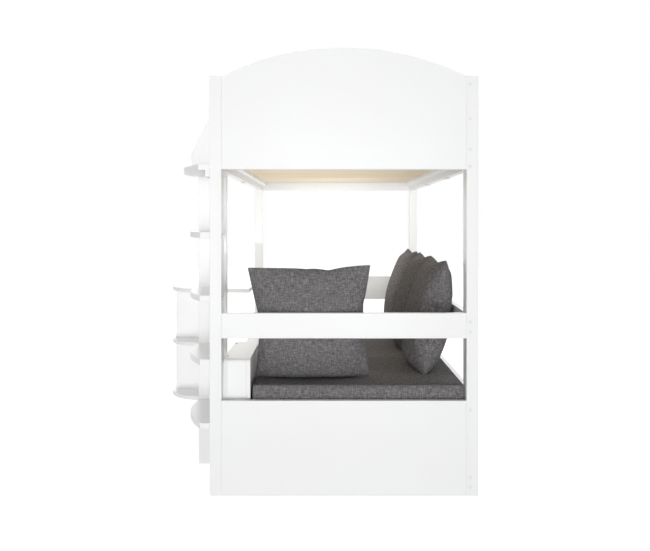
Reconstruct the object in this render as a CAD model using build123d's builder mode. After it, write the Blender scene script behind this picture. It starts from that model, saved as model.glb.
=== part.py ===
from build123d import *
from math import cos, hypot, radians, sin, sqrt
import os

# A high sleeper over a sofa: four posts, arched end panels, a slatted upper bunk with guards,
# a cushioned seat below, a step ladder and a round-ended shelf unit on the left side.
# Millimetres. X runs across the bed, Y along it, Z up. The origin is the middle of the
# footprint on the floor. A span is a (low, high) pair.

# --- driving dimensions ------------------------------------------------------------------
MATTRESS_WIDTH = 800.0
MATTRESS_LENGTH = 2000.0
MATTRESS_HEIGHT = 100.0
MATTRESS_ROUND = 14.0
MATTRESS_CORNER = 40.0
MATTRESS_SIDE_GAP = 0.6
MATTRESS_BOX_GAP = 7.4
MATTRESS_END_GAP = 10.0
SOFT_GAP = 0.3
EDGE_EASE = 1.5

POST_WIDTH = 44.0
POST_DEPTH = 72.0
POST_HEIGHT = 1562.0

PANEL_THICK = 25.0
LOWER_PANEL_HEIGHT = 354.0
MID_RAIL_BASE = 586.0
MID_RAIL_HEIGHT = 94.0
UPPER_BASE = 1215.0
ARCH_RISE = 105.0
INNER_RAIL_BASE = 544.0
INNER_RAIL_HEIGHT = 68.0

RAIL_THICK = 28.0
UPPER_RAIL_HEIGHT = 110.0
GUARD_THICK = 22.0
GUARD_GAP = 60.0
SEAT_RAIL_BASE = 251.0
SEAT_RAIL_HEIGHT = 140.0
FLOOR_RAIL_BASE = 4.0
FLOOR_RAIL_HEIGHT = 94.0

CLEAT_WIDTH = 25.0
CLEAT_HEIGHT = 18.0
SLAT_WIDTH = 70.0
SLAT_THICK = 16.0
SLAT_PITCH = 88.0
SLAT_END_GAP = 12.0
UPPER_SLAT_BASE = 1262.0
SEAT_SLAT_BASE = 284.0

CUSHION_WIDTH = 465.0
END_CUSHION_WIDTH = 450.0
CUSHION_HEIGHT = 466.0
CUSHION_THICK = 172.0
CUSHION_PULL = 13.0
CUSHION_BOX_GAP = 2.5
END_CUSHION_TILT = 17.0
BACK_CUSHION_TILT = 9.6
BACK_CUSHION_STARTS = (244.0, 745.0, 1300.0)

BOX_WIDTH = 104.0
BOX_LENGTH = 433.0
BOX_PANEL_GAP = 17.0
BOX_TOP = 505.0
BOX_WALL = 16.0
BOX_FLOOR_THICK = 10.0
LID_THICK = 12.0
LID_GAP = 0.3
LID_BEVEL = 8.0
KNUCKLE_LENGTH = 30.0
KNUCKLE_INSET = 60.0
PIN_RADIUS = 2.5
PIN_REACH = 14.0
PIN_CLEARANCE = 0.05

LEDGE_THICK = 22.0
LEDGE_RISER = 18.0

STEP_THICK = 22.0
STEP_TOPS = (271.0, 508.0, 746.0, 982.0)
STEP_NEAR_REACH = 36.0
STEP_REACH = 112.0
STEP_PEAK = 300.0
STEP_LENGTH = 404.0
PLATFORM_TOP = 1234.0
PLATFORM_NEAR_REACH = 42.0
PLATFORM_WAIST = (168.0, 121.0)
PLATFORM_REACH = 142.0
PLATFORM_PEAK = 300.0
PLATFORM_ROUND = 180.0
BEARER_WIDTH = 17.0
BEARER_HEIGHT = 25.0
WING_REACH = 133.0
WING_SHOULDER = 74.0
WING_ROUND = 60.0
WING_TOP_REACH = 4.0
WING_TOP_ROUND = 26.0

SHELF_REACH = 475.0
SHELF_DEPTH = 466.0
SHELF_THICK = 22.0
SHELF_TOP = 638.0
SHELF_UPRIGHT_OFFSET = 181.0
SHELF_DIVIDER_SETBACK = 17.0

UPPER_RAIL_BOLTS = (11.0, 74.0)
GUARD_BOLTS = (19.0, 147.0)
MID_RAIL_BOLTS = (24.0, 62.0)
SEAT_RAIL_BOLTS = (70.0,)
FLOOR_RAIL_BOLTS = (29.0, 64.0)
UPPER_PANEL_DOWELS = (43.0, 160.0)
UPPER_PANEL_TOP_DOWEL = 62.0
MID_RAIL_DOWELS = (43.0, 80.0)
LOWER_PANEL_DOWELS = (99.0, 198.0, 290.0)
RAIL_DOWEL_INSET = 30.0
SHELF_BOLT_INSETS = (32.0, 54.0)
STEP_JOINTS = (25.0, 80.0)
PLATFORM_SCREW_OFFSETS = (60.0, 250.0)
BEARER_SCREW_OFFSETS = (18.0, 54.0)
INNER_RAIL_SCREW_INSET = 18.0
BOX_DOWEL_INSETS = (40.0, 50.0)
BOX_DOWEL_SHARE = 0.6
SHELF_PEG_INSET = 60.0
BRACKET_INSET = 14.0
BOLT_RADIUS = 3.4
BOLT_HEAD_RADIUS = 5.5
BOLT_HEAD_HEIGHT = 6.0
BOLT_GRIP = 45.0
CAP_RADIUS = 6.0
CAP_THICK = 2.0
NUT_RADIUS = 5.0
NUT_LENGTH = 20.0
NUT_INSET = 30.0
DOWEL_RADIUS = 5.0
DOWEL_IN_POST = 25.0
DOWEL_IN_PANEL = 35.0
DOWEL_IN_BOARD = 12.0
SMALL_DOWEL_RADIUS = 4.0
STEP_BOLT_RADIUS = 3.0
STEP_BOLT_GRIP = 28.0
STEP_BOLT_INSET = 32.0
STEP_HEAD_RADIUS = 6.0
STEP_HEAD_HEIGHT = 3.0
SCREW_RADIUS = 2.5
SCREW_HEAD_RADIUS = 4.5
SCREW_HEAD_HEIGHT = 2.5
SCREW_GRIP = 30.0
CLEAT_SCREW_GRIP = 20.0
CLEAT_SCREWS = 6
BORE_GAP = 0.2
CLIP_LENGTH = 40.0
CLIP_WIDTH = 18.0
CLIP_THICK = 5.0
RIGHT_CLIPS = (560.0, 1230.0)
LEFT_CLIPS = (960.0,)
BRACKET_LEG = 36.0
BRACKET_THICK = 2.5
BRACKET_HEIGHT = 30.0

# --- planes and spans worked out from them --------------------------------------------------
BED_WIDTH = MATTRESS_WIDTH + MATTRESS_SIDE_GAP + MATTRESS_BOX_GAP + BOX_WIDTH + 2 * POST_WIDTH
BED_LENGTH = MATTRESS_LENGTH + 2 * (MATTRESS_END_GAP + PANEL_THICK)
TOTAL_WIDTH = BED_WIDTH + SHELF_REACH
LEFT = SHELF_REACH - TOTAL_WIDTH / 2
RIGHT = LEFT + BED_WIDTH
NEAR = -BED_LENGTH / 2
FAR = BED_LENGTH / 2
LEFT_IN = LEFT + POST_WIDTH
RIGHT_IN = RIGHT - POST_WIDTH
NEAR_IN = NEAR + POST_DEPTH
FAR_IN = FAR - POST_DEPTH
MIDDLE_X = (LEFT + RIGHT) / 2
BETWEEN_POSTS = (LEFT_IN, RIGHT_IN)
ALONG_RAILS = (NEAR_IN, FAR_IN)

LEFT_RAIL = (LEFT_IN - RAIL_THICK, LEFT_IN)
RIGHT_RAIL = (RIGHT_IN, RIGHT_IN + RAIL_THICK)
LEFT_RAIL_MID = LEFT_IN - RAIL_THICK / 2
RIGHT_RAIL_MID = RIGHT_IN + RAIL_THICK / 2
NEAR_PANEL = (NEAR, NEAR + PANEL_THICK)
FAR_PANEL = (FAR - PANEL_THICK, FAR)

LOWER_PANEL = (0.0, LOWER_PANEL_HEIGHT)
MID_RAIL = (MID_RAIL_BASE, MID_RAIL_BASE + MID_RAIL_HEIGHT)
UPPER_RAIL = (UPPER_BASE, UPPER_BASE + UPPER_RAIL_HEIGHT)
GUARD = (UPPER_RAIL[1] + GUARD_GAP, POST_HEIGHT)
INNER_RAIL = (INNER_RAIL_BASE, INNER_RAIL_BASE + INNER_RAIL_HEIGHT)
INNER_RAIL_Y = (FAR_IN - PANEL_THICK, FAR_IN)
SEAT_RAIL = (SEAT_RAIL_BASE, SEAT_RAIL_BASE + SEAT_RAIL_HEIGHT)
FLOOR_RAIL = (FLOOR_RAIL_BASE, FLOOR_RAIL_BASE + FLOOR_RAIL_HEIGHT)
SEAT_SLAT_TOP = SEAT_SLAT_BASE + SLAT_THICK

MATTRESS_X = (RIGHT_IN - MATTRESS_SIDE_GAP - MATTRESS_WIDTH, RIGHT_IN - MATTRESS_SIDE_GAP)
MATTRESS_Y = (-MATTRESS_LENGTH / 2, MATTRESS_LENGTH / 2)
MATTRESS_BASE = SEAT_SLAT_TOP + SOFT_GAP
MATTRESS_TOP = MATTRESS_BASE + MATTRESS_HEIGHT

BOX_X = (LEFT_IN, LEFT_IN + BOX_WIDTH)
BOX_Y = (NEAR_PANEL[1] + BOX_PANEL_GAP, NEAR_PANEL[1] + BOX_PANEL_GAP + BOX_LENGTH)
LID = (BOX_TOP - LID_THICK, BOX_TOP)
BOX_WALLS = (SEAT_SLAT_TOP, LID[0] - LID_GAP)

LADDER_PANEL = (NEAR + STEP_LENGTH, NEAR + STEP_LENGTH + STEP_THICK)
STEP_RADIUS = (STEP_PEAK**2 + (STEP_REACH - STEP_NEAR_REACH) ** 2) / (2 * (STEP_REACH - STEP_NEAR_REACH))
STEP_FAR_REACH = STEP_REACH - STEP_RADIUS + sqrt(STEP_RADIUS**2 - (STEP_LENGTH - STEP_PEAK) ** 2)
STEP_MIDDLES = [top - STEP_THICK / 2 for top in STEP_TOPS]
PLATFORM = (PLATFORM_TOP - STEP_THICK, PLATFORM_TOP)
PLATFORM_MID = PLATFORM_TOP - STEP_THICK / 2

SHELF_NEAR = FAR - SHELF_DEPTH
SHELF_RADIUS = SHELF_DEPTH / 2
SHELF_MID_Y = FAR - SHELF_RADIUS
SHELF_ARC_X = LEFT - SHELF_REACH + SHELF_RADIUS
SHELF_MIDDLE_TOP = (SHELF_TOP + SHELF_THICK) / 2
UPRIGHT = (LEFT - SHELF_UPRIGHT_OFFSET - SHELF_THICK, LEFT - SHELF_UPRIGHT_OFFSET)
UPRIGHT_Z = (0.0, SHELF_TOP - SHELF_THICK)
DIVIDER_X = (LEFT - SHELF_REACH + SHELF_DIVIDER_SETBACK, UPRIGHT[0])

UP = (0, 0, 1)
DOWN = (0, 0, -1)
TOWARDS_RIGHT = (1, 0, 0)
TOWARDS_LEFT = (-1, 0, 0)
TOWARDS_FAR = (0, 1, 0)
TOWARDS_NEAR = (0, -1, 0)

os.makedirs("parts", exist_ok=True)


# --- helpers ------------------------------------------------------------------------------
def size(span):
    """Length of a span."""
    return span[1] - span[0]


def middle(span):
    """Middle of a span."""
    return (span[0] + span[1]) / 2


def save(piece, name):
    """Label a finished piece and write its STEP file."""
    piece.part.label = name
    export_step(piece.part, f"parts/{name}.step")


def bore(x, y, z, way, radius, depth):
    """A round hole or peg: the plane at its mouth, its radius, and its depth that way."""
    return Plane(origin=(x, y, z), z_dir=way), radius, depth


def peg_joint(x, y, z, way, back, ahead, radius=DOWEL_RADIUS):
    """A peg across a joint, as its part behind the joint and its part ahead of it."""
    backwards = tuple(-share for share in way)
    return bore(x, y, z, backwards, radius, back), bore(x, y, z, way, radius, ahead)


def screw(x, y, z, way, through, grip=SCREW_GRIP):
    """A sunk screw: its head and shank in the first board, and its shank in the second."""
    deep = tuple(start + share * through for start, share in zip((x, y, z), way))
    head = bore(x, y, z, way, SCREW_HEAD_RADIUS, SCREW_HEAD_HEIGHT)
    shank = bore(x, y, z, way, SCREW_RADIUS, through)
    return (head, shank), (bore(*deep, way, SCREW_RADIUS, grip),)


def firsts(joints):
    """The bores on the near side of each joint."""
    return [joint[0] for joint in joints]


def seconds(joints):
    """The bores on the far side of each joint."""
    return [joint[1] for joint in joints]


def flat(groups):
    """One list from a list of groups."""
    return [item for group in groups for item in group]


def widened(bores, gap=BORE_GAP):
    """The holes for a set of pegs: a little wider all round and a little deeper."""
    return [(plane, radius + gap, depth + gap) for plane, radius, depth in bores]


def within(bores, span):
    """The bores whose mouths lie in a span of heights."""
    return [hole for hole in bores if span[0] < hole[0].origin.Z < span[1]]


def drill(bores):
    """Cut bores from the piece that is being made."""
    for plane, radius, depth in bores:
        with BuildSketch(plane) as mouth:
            Circle(radius)
        extrude(mouth.sketch, amount=depth, mode=Mode.SUBTRACT)


def board(x, y, z, bores=()):
    """A straight board that fills three spans, with eased edges and the given holes."""
    with BuildPart() as piece:
        with BuildSketch(Plane.XY.offset(z[0])):
            with Locations((middle(x), middle(y))):
                Rectangle(size(x), size(y))
        extrude(amount=size(z))
        fillet(piece.edges(), EDGE_EASE)
        drill(bores)
    return piece


def pegs(bores):
    """Separate round pegs, where the two parts of one peg join up."""
    with BuildPart() as group:
        for plane, radius, depth in bores:
            with BuildSketch(plane):
                Circle(radius)
            extrude(amount=depth)
    return group


# --- where the fasteners go -----------------------------------------------------------------
def raised(base, offsets):
    """Heights that are given offsets above a base."""
    return [base + offset for offset in offsets]


RIGHT_BOARDS = {
    "upper_rail_right": (UPPER_RAIL, RAIL_THICK, raised(UPPER_RAIL[0], UPPER_RAIL_BOLTS)),
    "guard_right": (GUARD, GUARD_THICK, raised(GUARD[0], GUARD_BOLTS)),
    "rear_mid_rail": (MID_RAIL, RAIL_THICK, raised(MID_RAIL[0], MID_RAIL_BOLTS)),
    "seat_rail_right": (SEAT_RAIL, RAIL_THICK, raised(SEAT_RAIL[0], SEAT_RAIL_BOLTS)),
    "rear_floor_rail": (FLOOR_RAIL, RAIL_THICK, raised(FLOOR_RAIL[0], FLOOR_RAIL_BOLTS)),
}
RIGHT_BOLT_HEIGHTS = flat(heights for _, _, heights in RIGHT_BOARDS.values())
PANEL_DOWEL_HEIGHTS = [
    *raised(UPPER_BASE, UPPER_PANEL_DOWELS),
    POST_HEIGHT - UPPER_PANEL_TOP_DOWEL,
    *raised(MID_RAIL[0], MID_RAIL_DOWELS),
    *LOWER_PANEL_DOWELS,
]
LEFT_RAIL_DOWEL_HEIGHTS = [
    height
    for span in (UPPER_RAIL, SEAT_RAIL)
    for height in (span[0] + RAIL_DOWEL_INSET, span[1] - RAIL_DOWEL_INSET)
]
GUARD_DOWEL_HEIGHTS = [GUARD[0] + RAIL_DOWEL_INSET, GUARD[1] - RAIL_DOWEL_INSET]


def rail_bolt(height, face, way):
    """Head and shank of a rail bolt through a right post, from the post's outer face."""
    start = face + way[1] * CAP_THICK
    under_head = start + way[1] * BOLT_HEAD_HEIGHT
    shank_length = POST_DEPTH - CAP_THICK - BOLT_HEAD_HEIGHT + BOLT_GRIP
    head = bore(RIGHT_RAIL_MID, start, height, way, BOLT_HEAD_RADIUS, BOLT_HEAD_HEIGHT)
    return head, bore(RIGHT_RAIL_MID, under_head, height, way, BOLT_RADIUS, shank_length)


def nut_bore(height, face, way):
    """Barrel nut of a rail bolt, from the rail's inner face."""
    nut_y = face + way[1] * (POST_DEPTH + NUT_INSET)
    return bore(RIGHT_IN, nut_y, height, TOWARDS_RIGHT, NUT_RADIUS, NUT_LENGTH)


RIGHT_ENDS = ((NEAR, TOWARDS_FAR), (FAR, TOWARDS_NEAR))


def panel_dowels(post_face, way, panel):
    """Dowels across the joint of an end's panels and a post, from panel to post."""
    return [
        peg_joint(post_face, middle(panel), height, way, DOWEL_IN_PANEL, DOWEL_IN_POST)
        for height in PANEL_DOWEL_HEIGHTS
    ]


def rail_dowels(post_face, way, heights):
    """Dowels along Y across the joint of the left rails and a post, from rail to post."""
    return [peg_joint(LEFT_RAIL_MID, post_face, z, way, DOWEL_IN_PANEL, DOWEL_IN_POST) for z in heights]


def side_bolt(y, height):
    """Shank and head of a bolt along X, through a left post from its inner face."""
    shank = bore(LEFT_IN, y, height, TOWARDS_LEFT, STEP_BOLT_RADIUS, POST_WIDTH + STEP_BOLT_GRIP)
    return shank, bore(LEFT_IN, y, height, TOWARDS_RIGHT, STEP_HEAD_RADIUS, STEP_HEAD_HEIGHT)


NEAR_LEFT_DOWELS = panel_dowels(LEFT_IN, TOWARDS_LEFT, NEAR_PANEL)
NEAR_RIGHT_DOWELS = panel_dowels(RIGHT_IN, TOWARDS_RIGHT, NEAR_PANEL)
FAR_LEFT_DOWELS = panel_dowels(LEFT_IN, TOWARDS_LEFT, FAR_PANEL)
FAR_RIGHT_DOWELS = panel_dowels(RIGHT_IN, TOWARDS_RIGHT, FAR_PANEL)
NEAR_RAIL_DOWELS = rail_dowels(NEAR_IN, TOWARDS_NEAR, LEFT_RAIL_DOWEL_HEIGHTS)
FAR_RAIL_DOWELS = rail_dowels(FAR_IN, TOWARDS_FAR, LEFT_RAIL_DOWEL_HEIGHTS + GUARD_DOWEL_HEIGHTS)
GUARD_WING_DOWELS = [
    peg_joint(LEFT_RAIL_MID, LADDER_PANEL[1], height, TOWARDS_NEAR, DOWEL_IN_PANEL, DOWEL_IN_BOARD)
    for height in GUARD_DOWEL_HEIGHTS
]
STEP_BOLTS = [side_bolt(NEAR + STEP_BOLT_INSET, height) for height in STEP_MIDDLES]
SHELF_BOLTS = [side_bolt(FAR - inset, SHELF_TOP - SHELF_THICK / 2) for inset in SHELF_BOLT_INSETS]
PLATFORM_DOWELS = [
    peg_joint(
        LEFT - reach, middle(LADDER_PANEL), PLATFORM[0], DOWN, STEP_THICK + DOWEL_IN_POST, DOWEL_IN_POST,
        SMALL_DOWEL_RADIUS,
    )
    for reach in STEP_JOINTS
]
STEP_SCREWS = [
    screw(LEFT - reach, LADDER_PANEL[1], height, TOWARDS_NEAR, STEP_THICK)
    for height in STEP_MIDDLES
    for reach in STEP_JOINTS
]
PLATFORM_SCREWS = [
    screw(LEFT_IN, NEAR_IN + offset, PLATFORM_MID, TOWARDS_LEFT, RAIL_THICK)
    for offset in PLATFORM_SCREW_OFFSETS
]
BEARER_SCREWS = [
    screw(LEFT - BEARER_WIDTH, NEAR + offset, PLATFORM[0] - BEARER_HEIGHT / 2, TOWARDS_RIGHT, BEARER_WIDTH)
    for offset in BEARER_SCREW_OFFSETS
]
INNER_RAIL_SCREWS = [
    screw(LEFT + POST_WIDTH / 2, INNER_RAIL_Y[0], height, TOWARDS_FAR, PANEL_THICK)
    for height in (INNER_RAIL[0] + INNER_RAIL_SCREW_INSET, INNER_RAIL[1] - INNER_RAIL_SCREW_INSET)
]
INNER_RAIL_DOWEL = peg_joint(
    RIGHT_IN, middle(INNER_RAIL_Y), (MID_RAIL[0] + INNER_RAIL[1]) / 2, TOWARDS_RIGHT, DOWEL_IN_PANEL,
    DOWEL_IN_BOARD, SMALL_DOWEL_RADIUS,
)


def cleat_screws(face_x, way, height):
    """Screws that hold a cleat to its rail, from the cleat's inner face."""
    step = size(ALONG_RAILS) / CLEAT_SCREWS
    spots = [NEAR_IN + step * (count + 0.5) for count in range(CLEAT_SCREWS)]
    return [screw(face_x, y, height, way, CLEAT_WIDTH, CLEAT_SCREW_GRIP) for y in spots]


# --- posts ----------------------------------------------------------------------------------
def right_post_holes(panel_joints, face, way):
    """Every hole of a right post, with the wider mouths that take bolt heads and caps."""
    holes = widened(seconds(panel_joints))
    for height in RIGHT_BOLT_HEIGHTS:
        mouth = Plane(origin=(RIGHT_RAIL_MID, face, height), z_dir=way)
        holes.append((mouth, CAP_RADIUS + BORE_GAP, CAP_THICK + BOLT_HEAD_HEIGHT))
        holes.append((mouth, BOLT_RADIUS + BORE_GAP, POST_DEPTH))
    return holes


POST_Z = (0.0, POST_HEIGHT)
LEFT_POST_X = (LEFT, LEFT_IN)
RIGHT_POST_X = (RIGHT_IN, RIGHT)
NEAR_POST_Y = (NEAR, NEAR_IN)
FAR_POST_Y = (FAR_IN, FAR)
near_left_holes = widened(
    seconds(NEAR_LEFT_DOWELS + NEAR_RAIL_DOWELS) + firsts(STEP_BOLTS) + flat(seconds(BEARER_SCREWS))
)
far_left_holes = widened(
    seconds(FAR_LEFT_DOWELS + FAR_RAIL_DOWELS) + firsts(SHELF_BOLTS) + flat(seconds(INNER_RAIL_SCREWS))
)
save(board(LEFT_POST_X, NEAR_POST_Y, POST_Z, near_left_holes), "near_left_post")
save(board(LEFT_POST_X, FAR_POST_Y, POST_Z, far_left_holes), "far_left_post")
save(
    board(RIGHT_POST_X, NEAR_POST_Y, POST_Z, right_post_holes(NEAR_RIGHT_DOWELS, NEAR, TOWARDS_FAR)),
    "near_right_post",
)
save(
    board(RIGHT_POST_X, FAR_POST_Y, POST_Z, right_post_holes(FAR_RIGHT_DOWELS, FAR, TOWARDS_NEAR)),
    "far_right_post",
)


# --- end panels -------------------------------------------------------------------------------
def arched_panel(y, bores):
    """The upper end panel: sides as high as the posts, and an arched top between them."""
    left_top, right_top = (LEFT_IN, POST_HEIGHT), (RIGHT_IN, POST_HEIGHT)
    with BuildPart() as piece:
        with BuildSketch(Plane.XZ.offset(-y[1])):
            with BuildLine():
                Polyline(left_top, (LEFT_IN, UPPER_BASE), (RIGHT_IN, UPPER_BASE), right_top)
                ThreePointArc(right_top, (MIDDLE_X, POST_HEIGHT + ARCH_RISE), left_top)
            make_face()
        extrude(amount=size(y))
        fillet(piece.edges(), EDGE_EASE)
        drill(bores)
    return piece


for end, panel, joints in (
    ("near", NEAR_PANEL, NEAR_LEFT_DOWELS + NEAR_RIGHT_DOWELS),
    ("far", FAR_PANEL, FAR_LEFT_DOWELS + FAR_RIGHT_DOWELS),
):
    holes = widened(firsts(joints))
    save(arched_panel(panel, within(holes, (UPPER_BASE, POST_HEIGHT))), f"{end}_upper_panel")
    save(board(BETWEEN_POSTS, panel, MID_RAIL, within(holes, MID_RAIL)), f"{end}_mid_rail")
    save(board(BETWEEN_POSTS, panel, LOWER_PANEL, within(holes, LOWER_PANEL)), f"{end}_lower_panel")

inner_rail_holes = widened(flat(firsts(INNER_RAIL_SCREWS)) + [INNER_RAIL_DOWEL[0]])
save(board((LEFT, RIGHT_IN), INNER_RAIL_Y, INNER_RAIL, inner_rail_holes), "far_inner_rail")


# --- side rails, guards, cleats and slats ---------------------------------------------------
UPPER_CLEAT = (UPPER_SLAT_BASE - CLEAT_HEIGHT, UPPER_SLAT_BASE)
SEAT_CLEAT = (SEAT_SLAT_BASE - CLEAT_HEIGHT, SEAT_SLAT_BASE)
LEFT_CLEAT_X = (LEFT_IN, LEFT_IN + CLEAT_WIDTH)
RIGHT_CLEAT_X = (RIGHT_IN - CLEAT_WIDTH, RIGHT_IN)


def cleats(z, screws):
    """The two battens that carry a row of slats, one on each side rail."""
    with BuildPart() as pair:
        with BuildSketch(Plane.XY.offset(z[0])):
            with Locations(*[(middle(x), middle(ALONG_RAILS)) for x in (LEFT_CLEAT_X, RIGHT_CLEAT_X)]):
                Rectangle(CLEAT_WIDTH, size(ALONG_RAILS))
        extrude(amount=size(z))
        fillet(pair.edges(), EDGE_EASE)
        drill(widened(flat(firsts(screws))))
    return pair


LEFT_CLEAT_SCREWS = {
    z: cleat_screws(LEFT_CLEAT_X[1], TOWARDS_LEFT, middle(z)) for z in (UPPER_CLEAT, SEAT_CLEAT)
}
RIGHT_CLEAT_SCREWS = {
    z: cleat_screws(RIGHT_CLEAT_X[0], TOWARDS_RIGHT, middle(z)) for z in (UPPER_CLEAT, SEAT_CLEAT)
}
for name, cleat_z in (("upper_cleats", UPPER_CLEAT), ("seat_cleats", SEAT_CLEAT)):
    save(cleats(cleat_z, LEFT_CLEAT_SCREWS[cleat_z] + RIGHT_CLEAT_SCREWS[cleat_z]), name)

RIGHT_BOARD_HOLES = {
    "upper_rail_right": flat(seconds(RIGHT_CLEAT_SCREWS[UPPER_CLEAT])),
    "seat_rail_right": flat(seconds(RIGHT_CLEAT_SCREWS[SEAT_CLEAT])),
    "rear_mid_rail": [INNER_RAIL_DOWEL[1]],
}
for name, (rail_z, thickness, heights) in RIGHT_BOARDS.items():
    holes = [nut_bore(height, *end) for height in heights for end in RIGHT_ENDS]
    for face, way in RIGHT_ENDS:
        joint_y = face + way[1] * POST_DEPTH
        holes += [bore(RIGHT_RAIL_MID, joint_y, height, way, BOLT_RADIUS, BOLT_GRIP) for height in heights]
    holes += RIGHT_BOARD_HOLES.get(name, [])
    save(board((RIGHT_IN, RIGHT_IN + thickness), ALONG_RAILS, rail_z, widened(holes)), name)

left_rail_dowels = firsts(NEAR_RAIL_DOWELS + FAR_RAIL_DOWELS)
upper_left_holes = within(left_rail_dowels, UPPER_RAIL)
upper_left_holes += flat(firsts(PLATFORM_SCREWS)) + flat(seconds(LEFT_CLEAT_SCREWS[UPPER_CLEAT]))
seat_left_holes = within(left_rail_dowels, SEAT_RAIL) + flat(seconds(LEFT_CLEAT_SCREWS[SEAT_CLEAT]))
save(board(LEFT_RAIL, ALONG_RAILS, UPPER_RAIL, widened(upper_left_holes)), "upper_rail_left")
save(board(LEFT_RAIL, ALONG_RAILS, SEAT_RAIL, widened(seat_left_holes)), "seat_rail_left")
guard_left_holes = widened(within(left_rail_dowels, GUARD) + firsts(GUARD_WING_DOWELS))
guard_left_y = (LADDER_PANEL[1], FAR_IN)
save(board((LEFT_IN - GUARD_THICK, LEFT_IN), guard_left_y, GUARD, guard_left_holes), "guard_left")


def slats(base):
    """A row of slats across the bed, with even gaps and its middle at the bed's middle."""
    count = int((size(ALONG_RAILS) - SLAT_WIDTH) / SLAT_PITCH) + 1
    length = size(BETWEEN_POSTS) - 2 * SLAT_END_GAP
    with BuildPart() as row:
        with BuildSketch(Plane.XY.offset(base)):
            with Locations((MIDDLE_X, 0)):
                with GridLocations(0, SLAT_PITCH, 1, count):
                    Rectangle(length, SLAT_WIDTH)
        extrude(amount=SLAT_THICK)
        fillet(row.edges().filter_by(Axis.X), EDGE_EASE)
    return row


save(slats(UPPER_SLAT_BASE), "upper_slats")
save(slats(SEAT_SLAT_BASE), "seat_slats")

with BuildPart() as rail_clips:
    with BuildSketch(Plane.XY.offset(UPPER_RAIL[0] - CLIP_THICK)):
        with Locations(*[(RIGHT_RAIL_MID, NEAR + offset) for offset in RIGHT_CLIPS]):
            Rectangle(CLIP_WIDTH, CLIP_LENGTH)
        with Locations(*[(LEFT_RAIL_MID, NEAR + offset) for offset in LEFT_CLIPS]):
            Rectangle(CLIP_WIDTH, CLIP_LENGTH)
    extrude(amount=CLIP_THICK)
save(rail_clips, "rail_clips")

# --- seat mattress ---------------------------------------------------------------------------
with BuildPart() as seat_mattress:
    with BuildSketch(Plane.XY.offset(MATTRESS_BASE)):
        with Locations((middle(MATTRESS_X), middle(MATTRESS_Y))):
            RectangleRounded(MATTRESS_WIDTH, MATTRESS_LENGTH, MATTRESS_CORNER)
    extrude(amount=MATTRESS_HEIGHT)
    fillet(seat_mattress.faces().filter_by(Axis.Z).edges(), MATTRESS_ROUND)
save(seat_mattress, "seat_mattress")

# --- loose cushions ----------------------------------------------------------------------------
CROWN_LEVELS = (0.0, 0.4, 0.7, 0.9, 0.98)


def crown_outline(width, height, level):
    """Outline of a cushion where it is a given share of its half thickness from its seam."""
    side = sqrt(1 - level**2)
    corner = sqrt(1 - level)
    pull = CUSHION_PULL * (1 - level)
    half_x, half_y = width / 2, height / 2
    tips = [(half_x * corner * i, half_y * corner * j) for i, j in ((1, 1), (-1, 1), (-1, -1), (1, -1))]
    top, foot = half_y * side - pull, pull - half_y * side
    edge = half_x * side - pull
    with BuildLine() as outline:
        ThreePointArc(tips[0], (0, top), tips[1])
        ThreePointArc(tips[1], (-edge, 0), tips[2])
        ThreePointArc(tips[2], (0, foot), tips[3])
        ThreePointArc(tips[3], (edge, 0), tips[0])
    make_face(outline.edges())


def cushion(plane, width):
    """A plump square cushion: two crowned halves that meet at a seam with pulled-in sides."""
    with BuildPart() as piece:
        for level in CROWN_LEVELS:
            with BuildSketch(plane.offset(level * CUSHION_THICK / 2)):
                crown_outline(width, CUSHION_HEIGHT, level)
        loft()
        mirror(about=plane)
    return piece


def leaning_plane(wall, tilt, wall_way, along):
    """Middle plane of a cushion that stands on the mattress and leans its back on a wall plane."""
    lean_cos, lean_sin = cos(radians(tilt)), sin(radians(tilt))
    back_reach = hypot(CUSHION_THICK / 2 * lean_cos, CUSHION_HEIGHT / 2 * lean_sin)
    centre_z = MATTRESS_TOP + SOFT_GAP + CUSHION_HEIGHT / 2 * lean_cos
    stand_off = wall - (back_reach + SOFT_GAP) * (wall_way[0] + wall_way[1])
    if wall_way[0]:
        centre = (stand_off, along, centre_z)
    else:
        centre = (along, stand_off, centre_z)
    width_way = (abs(wall_way[1]), abs(wall_way[0]), 0)
    faces = (wall_way[0] * lean_cos, wall_way[1] * lean_cos, -lean_sin)
    return Plane(origin=centre, x_dir=width_way, z_dir=faces)


END_CUSHION_X = BOX_X[1] + CUSHION_BOX_GAP + END_CUSHION_WIDTH / 2
end_plane = leaning_plane(NEAR_PANEL[1], END_CUSHION_TILT, TOWARDS_NEAR, END_CUSHION_X)
save(cushion(end_plane, END_CUSHION_WIDTH), "end_cushion")
for number, start in enumerate(BACK_CUSHION_STARTS, 1):
    back_plane = leaning_plane(RIGHT_IN, BACK_CUSHION_TILT, TOWARDS_RIGHT, NEAR + start + CUSHION_WIDTH / 2)
    save(cushion(back_plane, CUSHION_WIDTH), f"back_cushion_{number}")

# --- front ledge beside the mattress ---------------------------------------------------------
LEDGE_Y = (BOX_Y[1], FAR_PANEL[0])
LEDGE_Z = (SEAT_RAIL[1] - LEDGE_THICK, SEAT_RAIL[1])
save(board(BOX_X, LEDGE_Y, LEDGE_Z), "front_ledge")

with BuildPart() as ledge_bearers:
    with BuildSketch(Plane.XY.offset(SEAT_SLAT_TOP)):
        for y in (LEDGE_Y[0] + LEDGE_RISER / 2, middle(LEDGE_Y), LEDGE_Y[1] - LEDGE_RISER / 2):
            with Locations((middle(BOX_X), y)):
                Rectangle(BOX_WIDTH, LEDGE_RISER)
    extrude(amount=LEDGE_Z[0] - SEAT_SLAT_TOP)
save(ledge_bearers, "ledge_bearers")

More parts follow.
